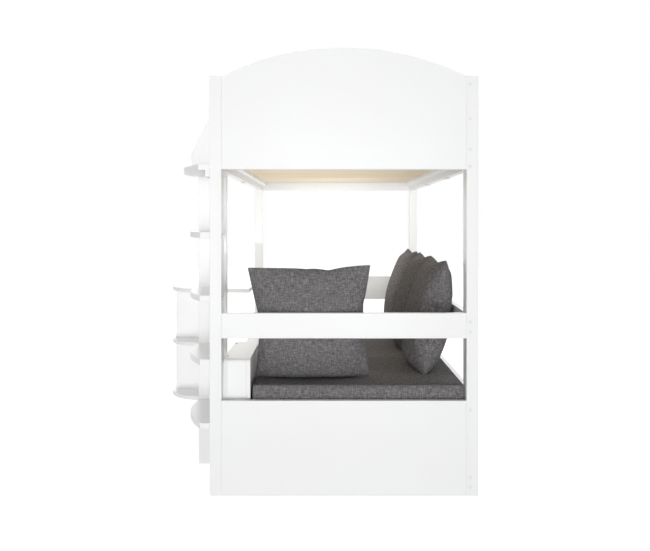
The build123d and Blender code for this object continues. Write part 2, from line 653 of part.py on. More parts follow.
# --- box beside the seat, with its hinged lid --------------------------------------------------
LEFT_WALL = (BOX_X[0], BOX_X[0] + BOX_WALL)
RIGHT_WALL = (BOX_X[1] - BOX_WALL, BOX_X[1])
BOX_INSIDE_X = (LEFT_WALL[1], RIGHT_WALL[0])
NEAR_WALL = (BOX_Y[0], BOX_Y[0] + BOX_WALL)
FAR_WALL = (BOX_Y[1] - BOX_WALL, BOX_Y[1])


def box_dowel(joint_x, wall, height, way):
    """Dowel across the joint of a box end wall and one of its sides."""
    reach = BOX_WALL * BOX_DOWEL_SHARE
    return peg_joint(joint_x, middle(wall), height, way, reach, reach, SMALL_DOWEL_RADIUS)


BOX_DOWELS = {
    wall: [
        (
            box_dowel(LEFT_WALL[1], wall, height, TOWARDS_LEFT),
            box_dowel(RIGHT_WALL[0], wall, height, TOWARDS_RIGHT),
        )
        for height in (BOX_WALLS[0] + BOX_DOWEL_INSETS[0], BOX_WALLS[1] - BOX_DOWEL_INSETS[1])
    ]
    for wall in (NEAR_WALL, FAR_WALL)
}
box_joints = flat(BOX_DOWELS.values())
save(board(LEFT_WALL, BOX_Y, BOX_WALLS, widened([left[1] for left, _ in box_joints])), "box_left_side")
save(board(RIGHT_WALL, BOX_Y, BOX_WALLS, widened([right[1] for _, right in box_joints])), "box_right_side")
for name, wall in (("box_near_panel", NEAR_WALL), ("box_far_panel", FAR_WALL)):
    wall_holes = [joint[0] for pair in BOX_DOWELS[wall] for joint in pair]
    save(board(BOX_INSIDE_X, wall, BOX_WALLS, widened(wall_holes)), name)
save(
    board(BOX_INSIDE_X, (NEAR_WALL[1], FAR_WALL[0]), (SEAT_SLAT_TOP, SEAT_SLAT_TOP + BOX_FLOOR_THICK)),
    "box_bottom",
)

NOSE_RADIUS = LID_THICK / 2
PIVOT_X = BOX_X[0] + LID_GAP + NOSE_RADIUS
PIVOT_Z = middle(LID)
KNUCKLE_RADIUS = NOSE_RADIUS - LID_GAP
NOTCH_REACH = hypot(KNUCKLE_RADIUS, NOSE_RADIUS + LID_GAP) + LID_GAP
KNUCKLES_Y = (BOX_Y[0] + KNUCKLE_INSET, BOX_Y[1] - KNUCKLE_INSET)
PIN_LENGTH = KNUCKLE_LENGTH + 2 * PIN_REACH

with BuildPart() as box_lid:
    with BuildSketch(Plane.XZ.offset(-BOX_Y[1])):
        with Locations(((PIVOT_X + BOX_X[1]) / 2, PIVOT_Z)):
            Rectangle(BOX_X[1] - PIVOT_X, LID_THICK)
        with Locations((PIVOT_X, PIVOT_Z)):
            Circle(NOSE_RADIUS)
    extrude(amount=BOX_LENGTH)
    with BuildSketch(Plane.YZ):
        with BuildLine():
            Polyline(
                (BOX_Y[0], LID[1]), (BOX_Y[0] + LID_BEVEL, LID[1]), (BOX_Y[0], LID[1] - LID_BEVEL), close=True
            )
        make_face()
    extrude(amount=TOTAL_WIDTH, both=True, mode=Mode.SUBTRACT)
    with BuildSketch(Plane.XY.offset(LID[0])):
        with Locations(*[(PIVOT_X, y) for y in KNUCKLES_Y]):
            Rectangle(2 * NOTCH_REACH, KNUCKLE_LENGTH + 2 * LID_GAP)
    extrude(amount=LID_THICK, mode=Mode.SUBTRACT)
    pin_length = PIN_LENGTH + 2 * BORE_GAP
    drill(
        bore(PIVOT_X, y - pin_length / 2, PIVOT_Z, TOWARDS_FAR, PIN_RADIUS + PIN_CLEARANCE, pin_length)
        for y in KNUCKLES_Y
    )
save(box_lid, "box_lid")

with BuildPart() as lid_knuckles:
    with BuildSketch(Plane.XZ.offset(-KNUCKLE_LENGTH / 2)):
        with Locations((PIVOT_X, PIVOT_Z)):
            Circle(KNUCKLE_RADIUS)
            Circle(PIN_RADIUS, mode=Mode.SUBTRACT)
        with Locations((PIVOT_X, (BOX_WALLS[1] + PIVOT_Z - PIN_RADIUS) / 2)):
            Rectangle(2 * KNUCKLE_RADIUS, PIVOT_Z - PIN_RADIUS - BOX_WALLS[1])
    knuckle = extrude(amount=KNUCKLE_LENGTH, mode=Mode.PRIVATE)
    with Locations(*[(0, y, 0) for y in KNUCKLES_Y]):
        add(knuckle)
save(lid_knuckles, "lid_knuckles")
save(
    pegs(bore(PIVOT_X, y - PIN_LENGTH / 2, PIVOT_Z, TOWARDS_FAR, PIN_RADIUS, PIN_LENGTH) for y in KNUCKLES_Y),
    "hinge_pins",
)

# --- ladder --------------------------------------------------------------------------------
step_tail_holes = widened(firsts(STEP_BOLTS) + flat(seconds(STEP_SCREWS)))
for number, top in enumerate(STEP_TOPS, 1):
    with BuildPart() as step:
        with BuildSketch(Plane.XY.offset(top - STEP_THICK)):
            with BuildLine():
                Polyline(
                    (LEFT - STEP_NEAR_REACH, NEAR),
                    (LEFT, NEAR),
                    (LEFT, LADDER_PANEL[0]),
                    (LEFT - STEP_FAR_REACH, LADDER_PANEL[0]),
                )
                ThreePointArc(
                    (LEFT - STEP_FAR_REACH, LADDER_PANEL[0]),
                    (LEFT - STEP_REACH, NEAR + STEP_PEAK),
                    (LEFT - STEP_NEAR_REACH, NEAR),
                )
            make_face()
        extrude(amount=STEP_THICK)
        fillet(step.edges(), EDGE_EASE)
        drill(within(step_tail_holes, (top - STEP_THICK, top)))
    save(step, f"step_{number}")

ladder_panel_holes = widened(flat(firsts(STEP_SCREWS)) + seconds(PLATFORM_DOWELS))
save(
    board((LEFT - STEP_FAR_REACH, LEFT_RAIL[0]), LADDER_PANEL, (0.0, PLATFORM[0]), ladder_panel_holes),
    "ladder_panel",
)

PLATFORM_HOLES = [
    (plane, radius + BORE_GAP, STEP_THICK) for plane, radius, _ in firsts(PLATFORM_DOWELS)
] + widened(flat(seconds(PLATFORM_SCREWS)))
with BuildPart() as platform:
    with BuildSketch(Plane.XY.offset(PLATFORM[0])) as platform_outline:
        with BuildLine():
            Polyline(
                (LEFT - PLATFORM_WAIST[1], NEAR + PLATFORM_WAIST[0]),
                (LEFT - PLATFORM_NEAR_REACH, NEAR),
                (LEFT, NEAR),
                (LEFT, NEAR_IN),
                (LEFT_RAIL[0], NEAR_IN),
                (LEFT_RAIL[0], LADDER_PANEL[1]),
                (LEFT - WING_REACH, LADDER_PANEL[1]),
            )
            ThreePointArc(
                (LEFT - WING_REACH, LADDER_PANEL[1]),
                (LEFT - PLATFORM_REACH, NEAR + PLATFORM_PEAK),
                (LEFT - PLATFORM_WAIST[1], NEAR + PLATFORM_WAIST[0]),
            )
        make_face()
        waist = Vector(LEFT - PLATFORM_WAIST[1], NEAR + PLATFORM_WAIST[0])
        fillet(platform_outline.vertices().sort_by_distance(waist)[0], PLATFORM_ROUND)
    extrude(amount=STEP_THICK)
    fillet(platform.edges().filter_by(Plane.XY), EDGE_EASE)
    drill(PLATFORM_HOLES)
save(platform, "platform")

bearer_holes = widened(flat(firsts(BEARER_SCREWS)))
bearer_z = (PLATFORM[0] - BEARER_HEIGHT, PLATFORM[0])
save(board((LEFT - BEARER_WIDTH, LEFT), NEAR_POST_Y, bearer_z, bearer_holes), "platform_bearer")

WING_DOWEL_HOLES = [
    bore(plane.origin.X, plane.origin.Y, PLATFORM_TOP, UP, radius + BORE_GAP, DOWEL_IN_POST + BORE_GAP)
    for plane, radius, _ in firsts(PLATFORM_DOWELS)
]
with BuildPart() as ladder_wing:
    with BuildSketch(Plane.XZ.offset(-LADDER_PANEL[1])) as wing_outline:
        with BuildLine():
            Polyline(
                (LEFT_RAIL[0], PLATFORM_TOP),
                (LEFT - WING_REACH, PLATFORM_TOP),
                (LEFT - WING_REACH, PLATFORM_TOP + WING_SHOULDER),
                (LEFT - WING_TOP_REACH, POST_HEIGHT),
                (LEFT_IN, POST_HEIGHT),
                (LEFT_IN, UPPER_RAIL[1]),
                (LEFT_RAIL[0], UPPER_RAIL[1]),
                close=True,
            )
        make_face()
        shoulder = wing_outline.vertices().sort_by(Axis.X)[:2].sort_by(Axis.Y)[-1]
        fillet(shoulder, WING_ROUND)
        crest = wing_outline.vertices().group_by(Axis.Y)[-1].sort_by(Axis.X)[0]
        fillet(crest, WING_TOP_ROUND)
    extrude(amount=STEP_THICK)
    fillet(ladder_wing.edges().filter_by(Plane.XZ), EDGE_EASE)
    drill(WING_DOWEL_HOLES + widened(seconds(GUARD_WING_DOWELS)))
save(ladder_wing, "ladder_wing")

with BuildPart() as ladder_brackets:
    for base in (SEAT_RAIL[0] + BRACKET_INSET, SEAT_RAIL[1] - BRACKET_INSET - BRACKET_HEIGHT):
        with BuildSketch(Plane.XY.offset(base)):
            with Locations((LEFT_RAIL[0], LADDER_PANEL[1])):
                Rectangle(BRACKET_LEG, BRACKET_THICK, align=(Align.MAX, Align.MIN))
                Rectangle(BRACKET_THICK, BRACKET_LEG, align=(Align.MAX, Align.MIN))
        extrude(amount=BRACKET_HEIGHT)
save(ladder_brackets, "ladder_brackets")


# --- shelf unit -----------------------------------------------------------------------------
SHELF_LEVELS = {
    "shelf_top": (SHELF_TOP, LEFT),
    "shelf_middle": (SHELF_MIDDLE_TOP, UPRIGHT[0]),
    "shelf_bottom": (SHELF_THICK, UPRIGHT[0]),
}
SHELF_PEG_Y = (SHELF_NEAR + SHELF_PEG_INSET, FAR - SHELF_PEG_INSET)


def shelf_peg(x, y, z, way):
    """Dowel across the joint of a shelf and the upright, from its deep end to its shallow end."""
    return peg_joint(x, y, z, way, DOWEL_IN_PANEL, DOWEL_IN_BOARD, SMALL_DOWEL_RADIUS)


TOP_SHELF_PEGS = [shelf_peg(middle(UPRIGHT), y, UPRIGHT_Z[1], UP) for y in SHELF_PEG_Y]
SHELF_PEGS = {
    name: [
        shelf_peg(UPRIGHT[0], y, SHELF_LEVELS[name][0] - SHELF_THICK / 2, TOWARDS_RIGHT)
        for y in SHELF_PEG_Y
    ]
    for name in ("shelf_middle", "shelf_bottom")
}
SHELF_HOLES = {
    "shelf_top": seconds(TOP_SHELF_PEGS) + firsts(SHELF_BOLTS),
    "shelf_middle": firsts(SHELF_PEGS["shelf_middle"]),
    "shelf_bottom": firsts(SHELF_PEGS["shelf_bottom"]),
}
arc_start, arc_end = (SHELF_ARC_X, SHELF_NEAR), (SHELF_ARC_X, FAR)
for name, (top, inner) in SHELF_LEVELS.items():
    with BuildPart() as shelf:
        with BuildSketch(Plane.XY.offset(top - SHELF_THICK)):
            with BuildLine():
                Polyline(arc_start, (inner, SHELF_NEAR), (inner, FAR), arc_end)
                ThreePointArc(arc_end, (LEFT - SHELF_REACH, SHELF_MID_Y), arc_start)
            make_face()
        extrude(amount=SHELF_THICK)
        fillet(shelf.edges().filter_by(Plane.XY), EDGE_EASE)
        drill(widened(SHELF_HOLES[name]))
    save(shelf, name)

upright_holes = firsts(TOP_SHELF_PEGS) + seconds(flat(SHELF_PEGS.values()))
save(board(UPRIGHT, (SHELF_NEAR, FAR), UPRIGHT_Z, widened(upright_holes)), "shelf_upright")
with BuildPart() as shelf_dividers:
    for level in ((SHELF_THICK, SHELF_MIDDLE_TOP - SHELF_THICK), (SHELF_MIDDLE_TOP, SHELF_TOP - SHELF_THICK)):
        with BuildSketch(Plane.XY.offset(level[0])):
            with Locations((middle(DIVIDER_X), SHELF_MID_Y)):
                Rectangle(size(DIVIDER_X), SHELF_THICK)
        extrude(amount=size(level))
    fillet(shelf_dividers.edges(), EDGE_EASE)
save(shelf_dividers, "shelf_dividers")


# --- fasteners --------------------------------------------------------------------------------
rail_bolt_pegs = flat(rail_bolt(height, *end) for height in RIGHT_BOLT_HEIGHTS for end in RIGHT_ENDS)
save(pegs(rail_bolt_pegs), "rail_bolts")
save(
    pegs(
        bore(RIGHT_RAIL_MID, face, height, way, CAP_RADIUS, CAP_THICK)
        for height in RIGHT_BOLT_HEIGHTS
        for face, way in RIGHT_ENDS
    ),
    "bolt_caps",
)

with BuildPart() as barrel_nuts:
    for height in RIGHT_BOLT_HEIGHTS:
        for face, way in RIGHT_ENDS:
            plane, radius, depth = nut_bore(height, face, way)
            with BuildSketch(plane):
                Circle(radius)
            extrude(amount=depth)
    for height in RIGHT_BOLT_HEIGHTS:
        for face, way in RIGHT_ENDS:
            drill([bore(RIGHT_RAIL_MID, face, height, way, BOLT_RADIUS, POST_DEPTH + BOLT_GRIP)])
save(barrel_nuts, "barrel_nuts")

save(pegs(flat(STEP_BOLTS + SHELF_BOLTS)), "side_bolts")

DOWEL_JOINTS = (
    NEAR_LEFT_DOWELS
    + NEAR_RIGHT_DOWELS
    + FAR_LEFT_DOWELS
    + FAR_RIGHT_DOWELS
    + NEAR_RAIL_DOWELS
    + FAR_RAIL_DOWELS
    + GUARD_WING_DOWELS
    + PLATFORM_DOWELS
    + [INNER_RAIL_DOWEL]
    + flat(box_joints)
    + TOP_SHELF_PEGS
    + flat(SHELF_PEGS.values())
)
save(pegs(flat(DOWEL_JOINTS)), "dowels")

BOARD_SCREWS = STEP_SCREWS + PLATFORM_SCREWS + BEARER_SCREWS + INNER_RAIL_SCREWS
CLEAT_SCREWS_ALL = flat((*LEFT_CLEAT_SCREWS.values(), *RIGHT_CLEAT_SCREWS.values()))
save(pegs(flat(flat(BOARD_SCREWS + CLEAT_SCREWS_ALL))), "board_screws")
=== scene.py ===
"""A high sleeper over a sofa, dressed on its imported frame.

The lacquered boards, the slats and the fittings are the frame's own solids with their finishes.
The mattress, the loose cushions, their seams and stitching, and the slat screws are modelled here.
"""
import logging
import math
from dataclasses import dataclass, field
from enum import Enum
from typing import Any, Iterable, Sequence

import bmesh
import bpy
import numpy as np
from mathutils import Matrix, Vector, noise


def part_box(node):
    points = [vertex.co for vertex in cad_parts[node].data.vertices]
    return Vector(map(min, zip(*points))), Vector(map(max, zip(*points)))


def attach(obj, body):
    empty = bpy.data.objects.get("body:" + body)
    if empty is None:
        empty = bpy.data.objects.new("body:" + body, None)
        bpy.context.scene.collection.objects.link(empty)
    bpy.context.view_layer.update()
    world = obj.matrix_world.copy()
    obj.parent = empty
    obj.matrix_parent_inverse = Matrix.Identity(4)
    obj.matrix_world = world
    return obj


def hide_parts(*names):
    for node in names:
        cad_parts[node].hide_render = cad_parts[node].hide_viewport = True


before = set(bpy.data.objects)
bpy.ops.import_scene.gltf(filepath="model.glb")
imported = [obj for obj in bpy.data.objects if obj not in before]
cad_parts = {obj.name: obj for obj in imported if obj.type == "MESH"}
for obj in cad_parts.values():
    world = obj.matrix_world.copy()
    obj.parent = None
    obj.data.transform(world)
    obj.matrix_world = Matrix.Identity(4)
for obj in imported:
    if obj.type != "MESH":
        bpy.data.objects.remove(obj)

log = logging.getLogger("high_sleeper")

MM = 0.001
WEAVE_MAP = "weave"
SEAM_MARK = "seam"
SEAM_LEVEL = 0.999  # A vertex with a higher mark lies on the seam.
HALF_BAND = 0.16  # Half the width of a wave texture's band at scale 1, in metres.

Socket = bpy.types.NodeSocket
Tree = bpy.types.NodeTree
Spot = tuple[float, float, float]


# --- objects and meshes ---------------------------------------------------------------------------
def linked(name: str, data: Any) -> bpy.types.Object:
    """Make an object of some data and link it to the scene.

    Args:
        name: Name of the object.
        data: Its mesh, curve, camera or light.

    Returns:
        The object, at the origin.
    """
    item = bpy.data.objects.new(name, data)
    bpy.context.scene.collection.objects.link(item)
    return item


def object_from(name: str, mesh: bpy.types.Mesh, material: bpy.types.Material) -> bpy.types.Object:
    """Put a finished mesh in the scene as a smooth-shaded piece.

    Args:
        name: Name of the piece.
        mesh: Its mesh, already in the frame's metres.
        material: Its finish.

    Returns:
        The new object, at the origin.
    """
    mesh.name = name
    mesh.materials.clear()
    mesh.materials.append(material)
    mesh.polygons.foreach_set("use_smooth", [True] * len(mesh.polygons))
    mesh.polygons.foreach_set("material_index", [0] * len(mesh.polygons))
    return linked(name, mesh)


def mesh_of(shape: bmesh.types.BMesh, name: str) -> bpy.types.Mesh:
    """Turn a finished bmesh into a mesh, and free it.

    Args:
        shape: The bmesh, which is used up.
        name: Name of the mesh.

    Returns:
        The mesh.
    """
    mesh = bpy.data.meshes.new(name)
    shape.to_mesh(mesh)
    shape.free()
    return mesh


def baked(source: bpy.types.Object) -> bpy.types.Mesh:
    """Return an object's evaluated mesh as plain data, and remove the object.

    Args:
        source: The object, which is used up.

    Returns:
        Its mesh with every modifier applied.
    """
    graph = bpy.context.evaluated_depsgraph_get()
    mesh = bpy.data.meshes.new_from_object(source.evaluated_get(graph), depsgraph=graph)
    bpy.data.objects.remove(source)
    return mesh


def mesh_points(mesh: bpy.types.Mesh) -> np.ndarray:
    """Read a mesh's vertices.

    Args:
        mesh: The mesh.

    Returns:
        An array of rows of three.
    """
    flat = np.empty(len(mesh.vertices) * 3)
    mesh.vertices.foreach_get("co", flat)
    return flat.reshape(-1, 3)


def move_points(mesh: bpy.types.Mesh, points: np.ndarray) -> None:
    """Write an array of rows of three back to a mesh's vertices."""
    mesh.vertices.foreach_set("co", points.ravel())
    mesh.update()


def project_weave(mesh: bpy.types.Mesh) -> None:
    """Give a mesh a weave map in metres, laid flat on each face from the axis that it faces.

    Args:
        mesh: Mesh in the frame's metres.
    """
    layer = mesh.uv_layers.get(WEAVE_MAP) or mesh.uv_layers.new(name=WEAVE_MAP)
    for face in mesh.polygons:
        facing = max(range(3), key=lambda axis: abs(face.normal[axis]))
        across, up = ((1, 2), (0, 2), (0, 1))[facing]
        for loop in face.loop_indices:
            place = mesh.vertices[mesh.loops[loop].vertex_index].co
            layer.data[loop].uv = (place[across], place[up])


def ring_curve(name: str, points: Sequence[Vector]) -> bpy.types.Object:
    """Lay a closed curve of straight runs through a ring of points.

    Args:
        name: Name of the curve.
        points: The ring's points, in order.

    Returns:
        The curve, linked to the scene.
    """
    curve = bpy.data.curves.new(name, "CURVE")
    curve.dimensions = "3D"
    spline = curve.splines.new("POLY")
    spline.points.add(len(points) - 1)
    for spot, point in zip(spline.points, points):
        spot.co = (*point, 1.0)
    spline.use_cyclic_u = True
    return linked(name, curve)


def cord_mesh(points: Sequence[Vector], radius: float, sides: int = 2) -> bpy.types.Mesh:
    """Sweep a thin closed cord along a ring of points.

    Args:
        points: The ring's points, in order.
        radius: Radius of the cord.
        sides: Bevel resolution of its round section.

    Returns:
        The cord's mesh.
    """
    cord = ring_curve("cord", points)
    cord.data.bevel_depth, cord.data.bevel_resolution = radius, sides
    mesh = baked(cord)
    project_weave(mesh)
    return mesh


# --- nodes ----------------------------------------------------------------------------------------
def linear(hex_colour: str) -> tuple[float, float, float, float]:
    """Turn an sRGB hex colour into the linear colour that a shader socket takes.

    Args:
        hex_colour: Colour such as "#F2F3F3".

    Returns:
        Red, green, blue and an alpha of 1.
    """
    shares = [int(hex_colour[start : start + 2], 16) / 255 for start in (1, 3, 5)]
    red, green, blue = (c / 12.92 if c <= 0.04045 else ((c + 0.055) / 1.055) ** 2.4 for c in shares)
    return red, green, blue, 1.0


def add_node(
    tree: Tree, kind: str, inputs: dict[Any, Any] | None = None, **settings: Any
) -> bpy.types.Node:
    """Add one node with its settings and its inputs.

    Args:
        tree: Node tree that gets the node.
        kind: Blender's type name of the node.
        inputs: Input name or number to its plain value, or to the output socket that feeds it.
        **settings: Properties of the node itself.

    Returns:
        The new node.
    """
    node = tree.nodes.new(kind)
    for name, value in settings.items():
        setattr(node, name, value)
    for key, value in (inputs or {}).items():
        if isinstance(value, Socket):
            tree.links.new(value, node.inputs[key])
        else:
            node.inputs[key].default_value = value
    return node


def maths(tree: Tree, operation: str, *terms: Any) -> Socket:
    """Add an operation on numbers, each a plain value or a socket, and return its result."""
    return add_node(tree, "ShaderNodeMath", dict(enumerate(terms)), operation=operation).outputs[0]


def vector_maths(tree: Tree, operation: str, *terms: Any) -> Socket:
    """Add an operation on vectors, each a plain value or a socket, and return its result."""
    return add_node(tree, "ShaderNodeVectorMath", dict(enumerate(terms)), operation=operation).outputs[0]


def ranged(
    tree: Tree, value: Socket, low: float, high: float, start: float = 0.0, end: float = 1.0
) -> Socket:
    """Add a clamped map of a value from one range to another.

    Args:
        tree: Node tree that gets it.
        value: The value.
        low: Result at the start of its range.
        high: Result at the end of its range.
        start: Start of the value's range.
        end: End of the value's range.

    Returns:
        The mapped value.
    """
    limits = {"From Min": start, "From Max": end, "To Min": low, "To Max": high}
    return add_node(tree, "ShaderNodeMapRange", {"Value": value, **limits}).outputs["Result"]


def cloudy(
    tree: Tree, place: Socket, scale: float, detail: float, roughness: float = 0.5, plane: str = "3D"
) -> Socket:
    """Add a cloudy noise over places.

    Args:
        tree: Node tree that gets it.
        place: The places.
        scale: Number of its patches in one unit of the places.
        detail: Number of finer layers.
        roughness: Share of each finer layer.
        plane: "3D" for solid places, "2D" for places on a map.

    Returns:
        The noise's level.
    """
    look = {"Vector": place, "Scale": scale, "Detail": detail, "Roughness": roughness}
    return add_node(tree, "ShaderNodeTexNoise", look, noise_dimensions=plane).outputs["Fac"]


def mixed(tree: Tree, share: Socket, first: Any, second: Any) -> Socket:
    """Add a mix of two colours by a share, and return its result."""
    look = {"Factor": share, 6: first, 7: second}
    return add_node(tree, "ShaderNodeMix", look, data_type="RGBA").outputs[2]


def mixed_level(tree: Tree, share: Socket, first: Socket, second: Socket) -> Socket:
    """Add a mix of two numbers by a share, and return its result."""
    look = {"Factor": share, 2: first, 3: second}
    return add_node(tree, "ShaderNodeMix", look, data_type="FLOAT").outputs[0]


def graded(tree: Tree, level: Socket, stops: dict[float, str]) -> Socket:
    """Add a colour ramp.

    Args:
        tree: Node tree that gets it.
        level: The level that it grades.
        stops: Place of each stop to its colour, from low to high.

    Returns:
        The graded colour.
    """
    node = add_node(tree, "ShaderNodeValToRGB", {"Fac": level})
    elements = node.color_ramp.elements
    (elements[0].position, first), *between, (elements[1].position, last) = stops.items()
    elements[0].color, elements[1].color = linear(first), linear(last)
    for place, tone in between:
        elements.new(place).color = linear(tone)
    return node.outputs["Color"]


def object_place(tree: Tree) -> Socket:
    """Add the object's own coordinates, in metres, and return them."""
    return add_node(tree, "ShaderNodeTexCoord").outputs["Object"]


def relief(tree: Tree, height: Socket, strength: float, depth: float) -> Socket:
    """Add a bump of a height, and return its normal."""
    look = {"Height": height, "Strength": strength, "Distance": depth}
    return add_node(tree, "ShaderNodeBump", look).outputs["Normal"]


def seen_level(tree: Tree, unseen: float, seen: float) -> Socket:
    """Add a level for a backdrop: one for the camera and for gloss, another for its light.

    Args:
        tree: Node tree that gets it.
        unseen: Level for diffuse light.
        seen: Level for the camera and for gloss.

    Returns:
        The level.
    """
    rays = add_node(tree, "ShaderNodeLightPath").outputs
    direct = maths(tree, "MAXIMUM", rays["Is Camera Ray"], rays["Is Glossy Ray"])
    return ranged(tree, direct, unseen, seen)


def new_material(name: str) -> tuple[bpy.types.Material, Tree]:
    """Make an empty node material.

    Args:
        name: The real material's plain name.

    Returns:
        The material and its cleared node tree.
    """
    material = bpy.data.materials.new(name)
    material.use_nodes = True
    material.node_tree.nodes.clear()
    return material, material.node_tree


def close_material(tree: Tree, shader: bpy.types.Node) -> None:
    """Link a finished shader to a material's output."""
    add_node(tree, "ShaderNodeOutputMaterial", {"Surface": shader.outputs[0]})


def close_surface(tree: Tree, look: dict[str, Any]) -> None:
    """Close a material with one Principled shader that has a given look."""
    close_material(tree, add_node(tree, "ShaderNodeBsdfPrincipled", look))


# --- geometry rules ---------------------------------------------------------------------------------
def new_rule(name: str, inputs: dict[str, str]) -> tuple[Tree, Any]:
    """Start a Geometry Nodes tree.

    Args:
        name: Name of the tree.
        inputs: Label of each input to its kind.

    Returns:
        The tree and its inputs' sockets.
    """
    tree = bpy.data.node_groups.new(name, "GeometryNodeTree")
    tree.interface.new_socket("Geometry", in_out="OUTPUT", socket_type="NodeSocketGeometry")
    for label, kind in inputs.items():
        tree.interface.new_socket(label, in_out="INPUT", socket_type=f"NodeSocket{kind}")
    return tree, add_node(tree, "NodeGroupInput").outputs


def close_rule(tree: Tree, geometry: Socket, material: bpy.types.Material) -> None:
    """End a Geometry Nodes tree in Realize Instances and Set Material.

    Args:
        tree: The tree.
        geometry: The laid-out instances.
        material: Their finish.
    """
    real = add_node(tree, "GeometryNodeRealizeInstances", {"Geometry": geometry})
    look = {"Geometry": real.outputs["Geometry"], "Material": material}
    painted = add_node(tree, "GeometryNodeSetMaterial", look)
    add_node(tree, "NodeGroupOutput", {"Geometry": painted.outputs[0]})


def run_rule(source: bpy.types.Object, tree: Tree, given: dict[str, Any]) -> bpy.types.Mesh:
    """Run a Geometry Nodes tree on an object and bake the result.

    Args:
        source: The object, which is used up.
        tree: The tree.
        given: Label of each input to its value.

    Returns:
        The result as a plain mesh.
    """
    modifier = source.modifiers.new("rule", "NODES")
    modifier.node_group = tree
    for item in tree.interface.items_tree:
        if item.in_out == "INPUT" and item.name in given:
            modifier[item.identifier] = given[item.name]
    return baked(source)


# --- finishes -------------------------------------------------------------------------------------
@dataclass(frozen=True)
class SatinLacquer:
    """Water-based satin lacquer, sprayed on primed MDF and sanded between coats.

    It gives the eye an even, slightly cool white with soft-edged highlights, and a faint
    orange peel that only shows where light grazes the board.
    """

    name: str = "satin_lacquer_on_mdf"
    colour: str = "#F1F2F3"
    warm_colour: str = "#F0F0EF"
    roughness: tuple[float, float] = (0.32, 0.41)
    tone_size: float = 300.0 * MM
    peel_size: float = 3.0 * MM
    peel_depth: float = 0.05 * MM
    peel_strength: float = 0.06

    def build(self) -> bpy.types.Material:
        """Make the material.

        Returns:
            The lacquer's material.
        """
        material, tree = new_material(self.name)
        place = object_place(tree)
        tone = cloudy(tree, place, 1 / self.tone_size, detail=2.0)
        peel = cloudy(tree, place, 1 / self.peel_size, detail=1.0, roughness=0.4)
        close_surface(tree, {
            "Base Color": mixed(tree, tone, linear(self.colour), linear(self.warm_colour)),
            "Roughness": ranged(tree, tone, *self.roughness),
            "Normal": relief(tree, peel, self.peel_strength, self.peel_depth),
            "IOR": 1.5, "Coat Weight": 0.12, "Coat Roughness": 0.22,
        })
        return material


@dataclass(frozen=True)
class PlanedPine:
    """Planed, unvarnished spruce-pine slats.

    It gives the eye a pale straw ground with straight darker latewood lines along each slat,
    a slow warm drift in tone from slat to slat, and a small brown knot here and there.
    """

    name: str = "planed_pine"
    pale: str = "#F1E8D8"
    latewood: str = "#DFC9A2"
    knot: str = "#8A5A34"
    ring_width: float = 5.0 * MM
    ring_stretch: float = 0.035
    slat_pitch: float = 88.0 * MM
    storeys: float = 3.0
    next_board: Spot = (1.37, 0.0, 2.11)
    ring_share: float = 0.55
    clear_until: float = 0.42
    drift_scale: float = 14.0
    fibre_scale: float = 900.0
    fibre_depth: float = 0.1 * MM
    knot_spacing: float = 260.0 * MM
    knot_edge: tuple[float, float] = (0.02, 0.045)
    roughness: tuple[float, float] = (0.52, 0.68)

    def build(self) -> bpy.types.Material:
        """Make the material.

        Returns:
            The pine's material.
        """
        material, tree = new_material(self.name)
        place = object_place(tree)
        parts = add_node(tree, "ShaderNodeSeparateXYZ", {"Vector": place}).outputs
        slat = maths(tree, "ROUND", maths(tree, "DIVIDE", parts["Y"], self.slat_pitch))
        storey = maths(tree, "ROUND", maths(tree, "MULTIPLY", parts["Z"], self.storeys))
        number = add_node(tree, "ShaderNodeCombineXYZ", {"X": slat, "Z": storey}).outputs[0]
        shift = vector_maths(tree, "MULTIPLY", number, self.next_board)
        board = vector_maths(tree, "ADD", place, shift)
        along = vector_maths(tree, "MULTIPLY", board, (self.ring_stretch, 1.0, 1.0))
        drift = cloudy(tree, along, self.drift_scale, detail=3.0, roughness=0.55)
        fibre = cloudy(tree, along, self.fibre_scale, detail=2.0)
        rings = add_node(
            tree,
            "ShaderNodeTexWave",
            {
                "Vector": along, "Scale": HALF_BAND / self.ring_width, "Distortion": 5.0,
                "Detail": 2.0, "Detail Scale": 1.2,
            },
            wave_type="BANDS",
            bands_direction="Y",
            wave_profile="SAW",
        ).outputs["Fac"]
        grain = maths(tree, "MULTIPLY_ADD", rings, self.ring_share, drift)
        spread = {"Vector": board, "Scale": 1 / self.knot_spacing, "Randomness": 1.0}
        away = add_node(tree, "ShaderNodeTexVoronoi", spread).outputs["Distance"]
        clear = graded(tree, grain, {self.clear_until: self.pale, 1.0: self.latewood})
        core = ranged(tree, away, 1.0, 0.0, *self.knot_edge)
        close_surface(tree, {
            "Base Color": mixed(tree, core, clear, linear(self.knot)),
            "Roughness": ranged(tree, grain, *self.roughness),
            "Normal": relief(tree, fibre, strength=0.25, depth=self.fibre_depth),
            "IOR": 1.5,
        })
        return material


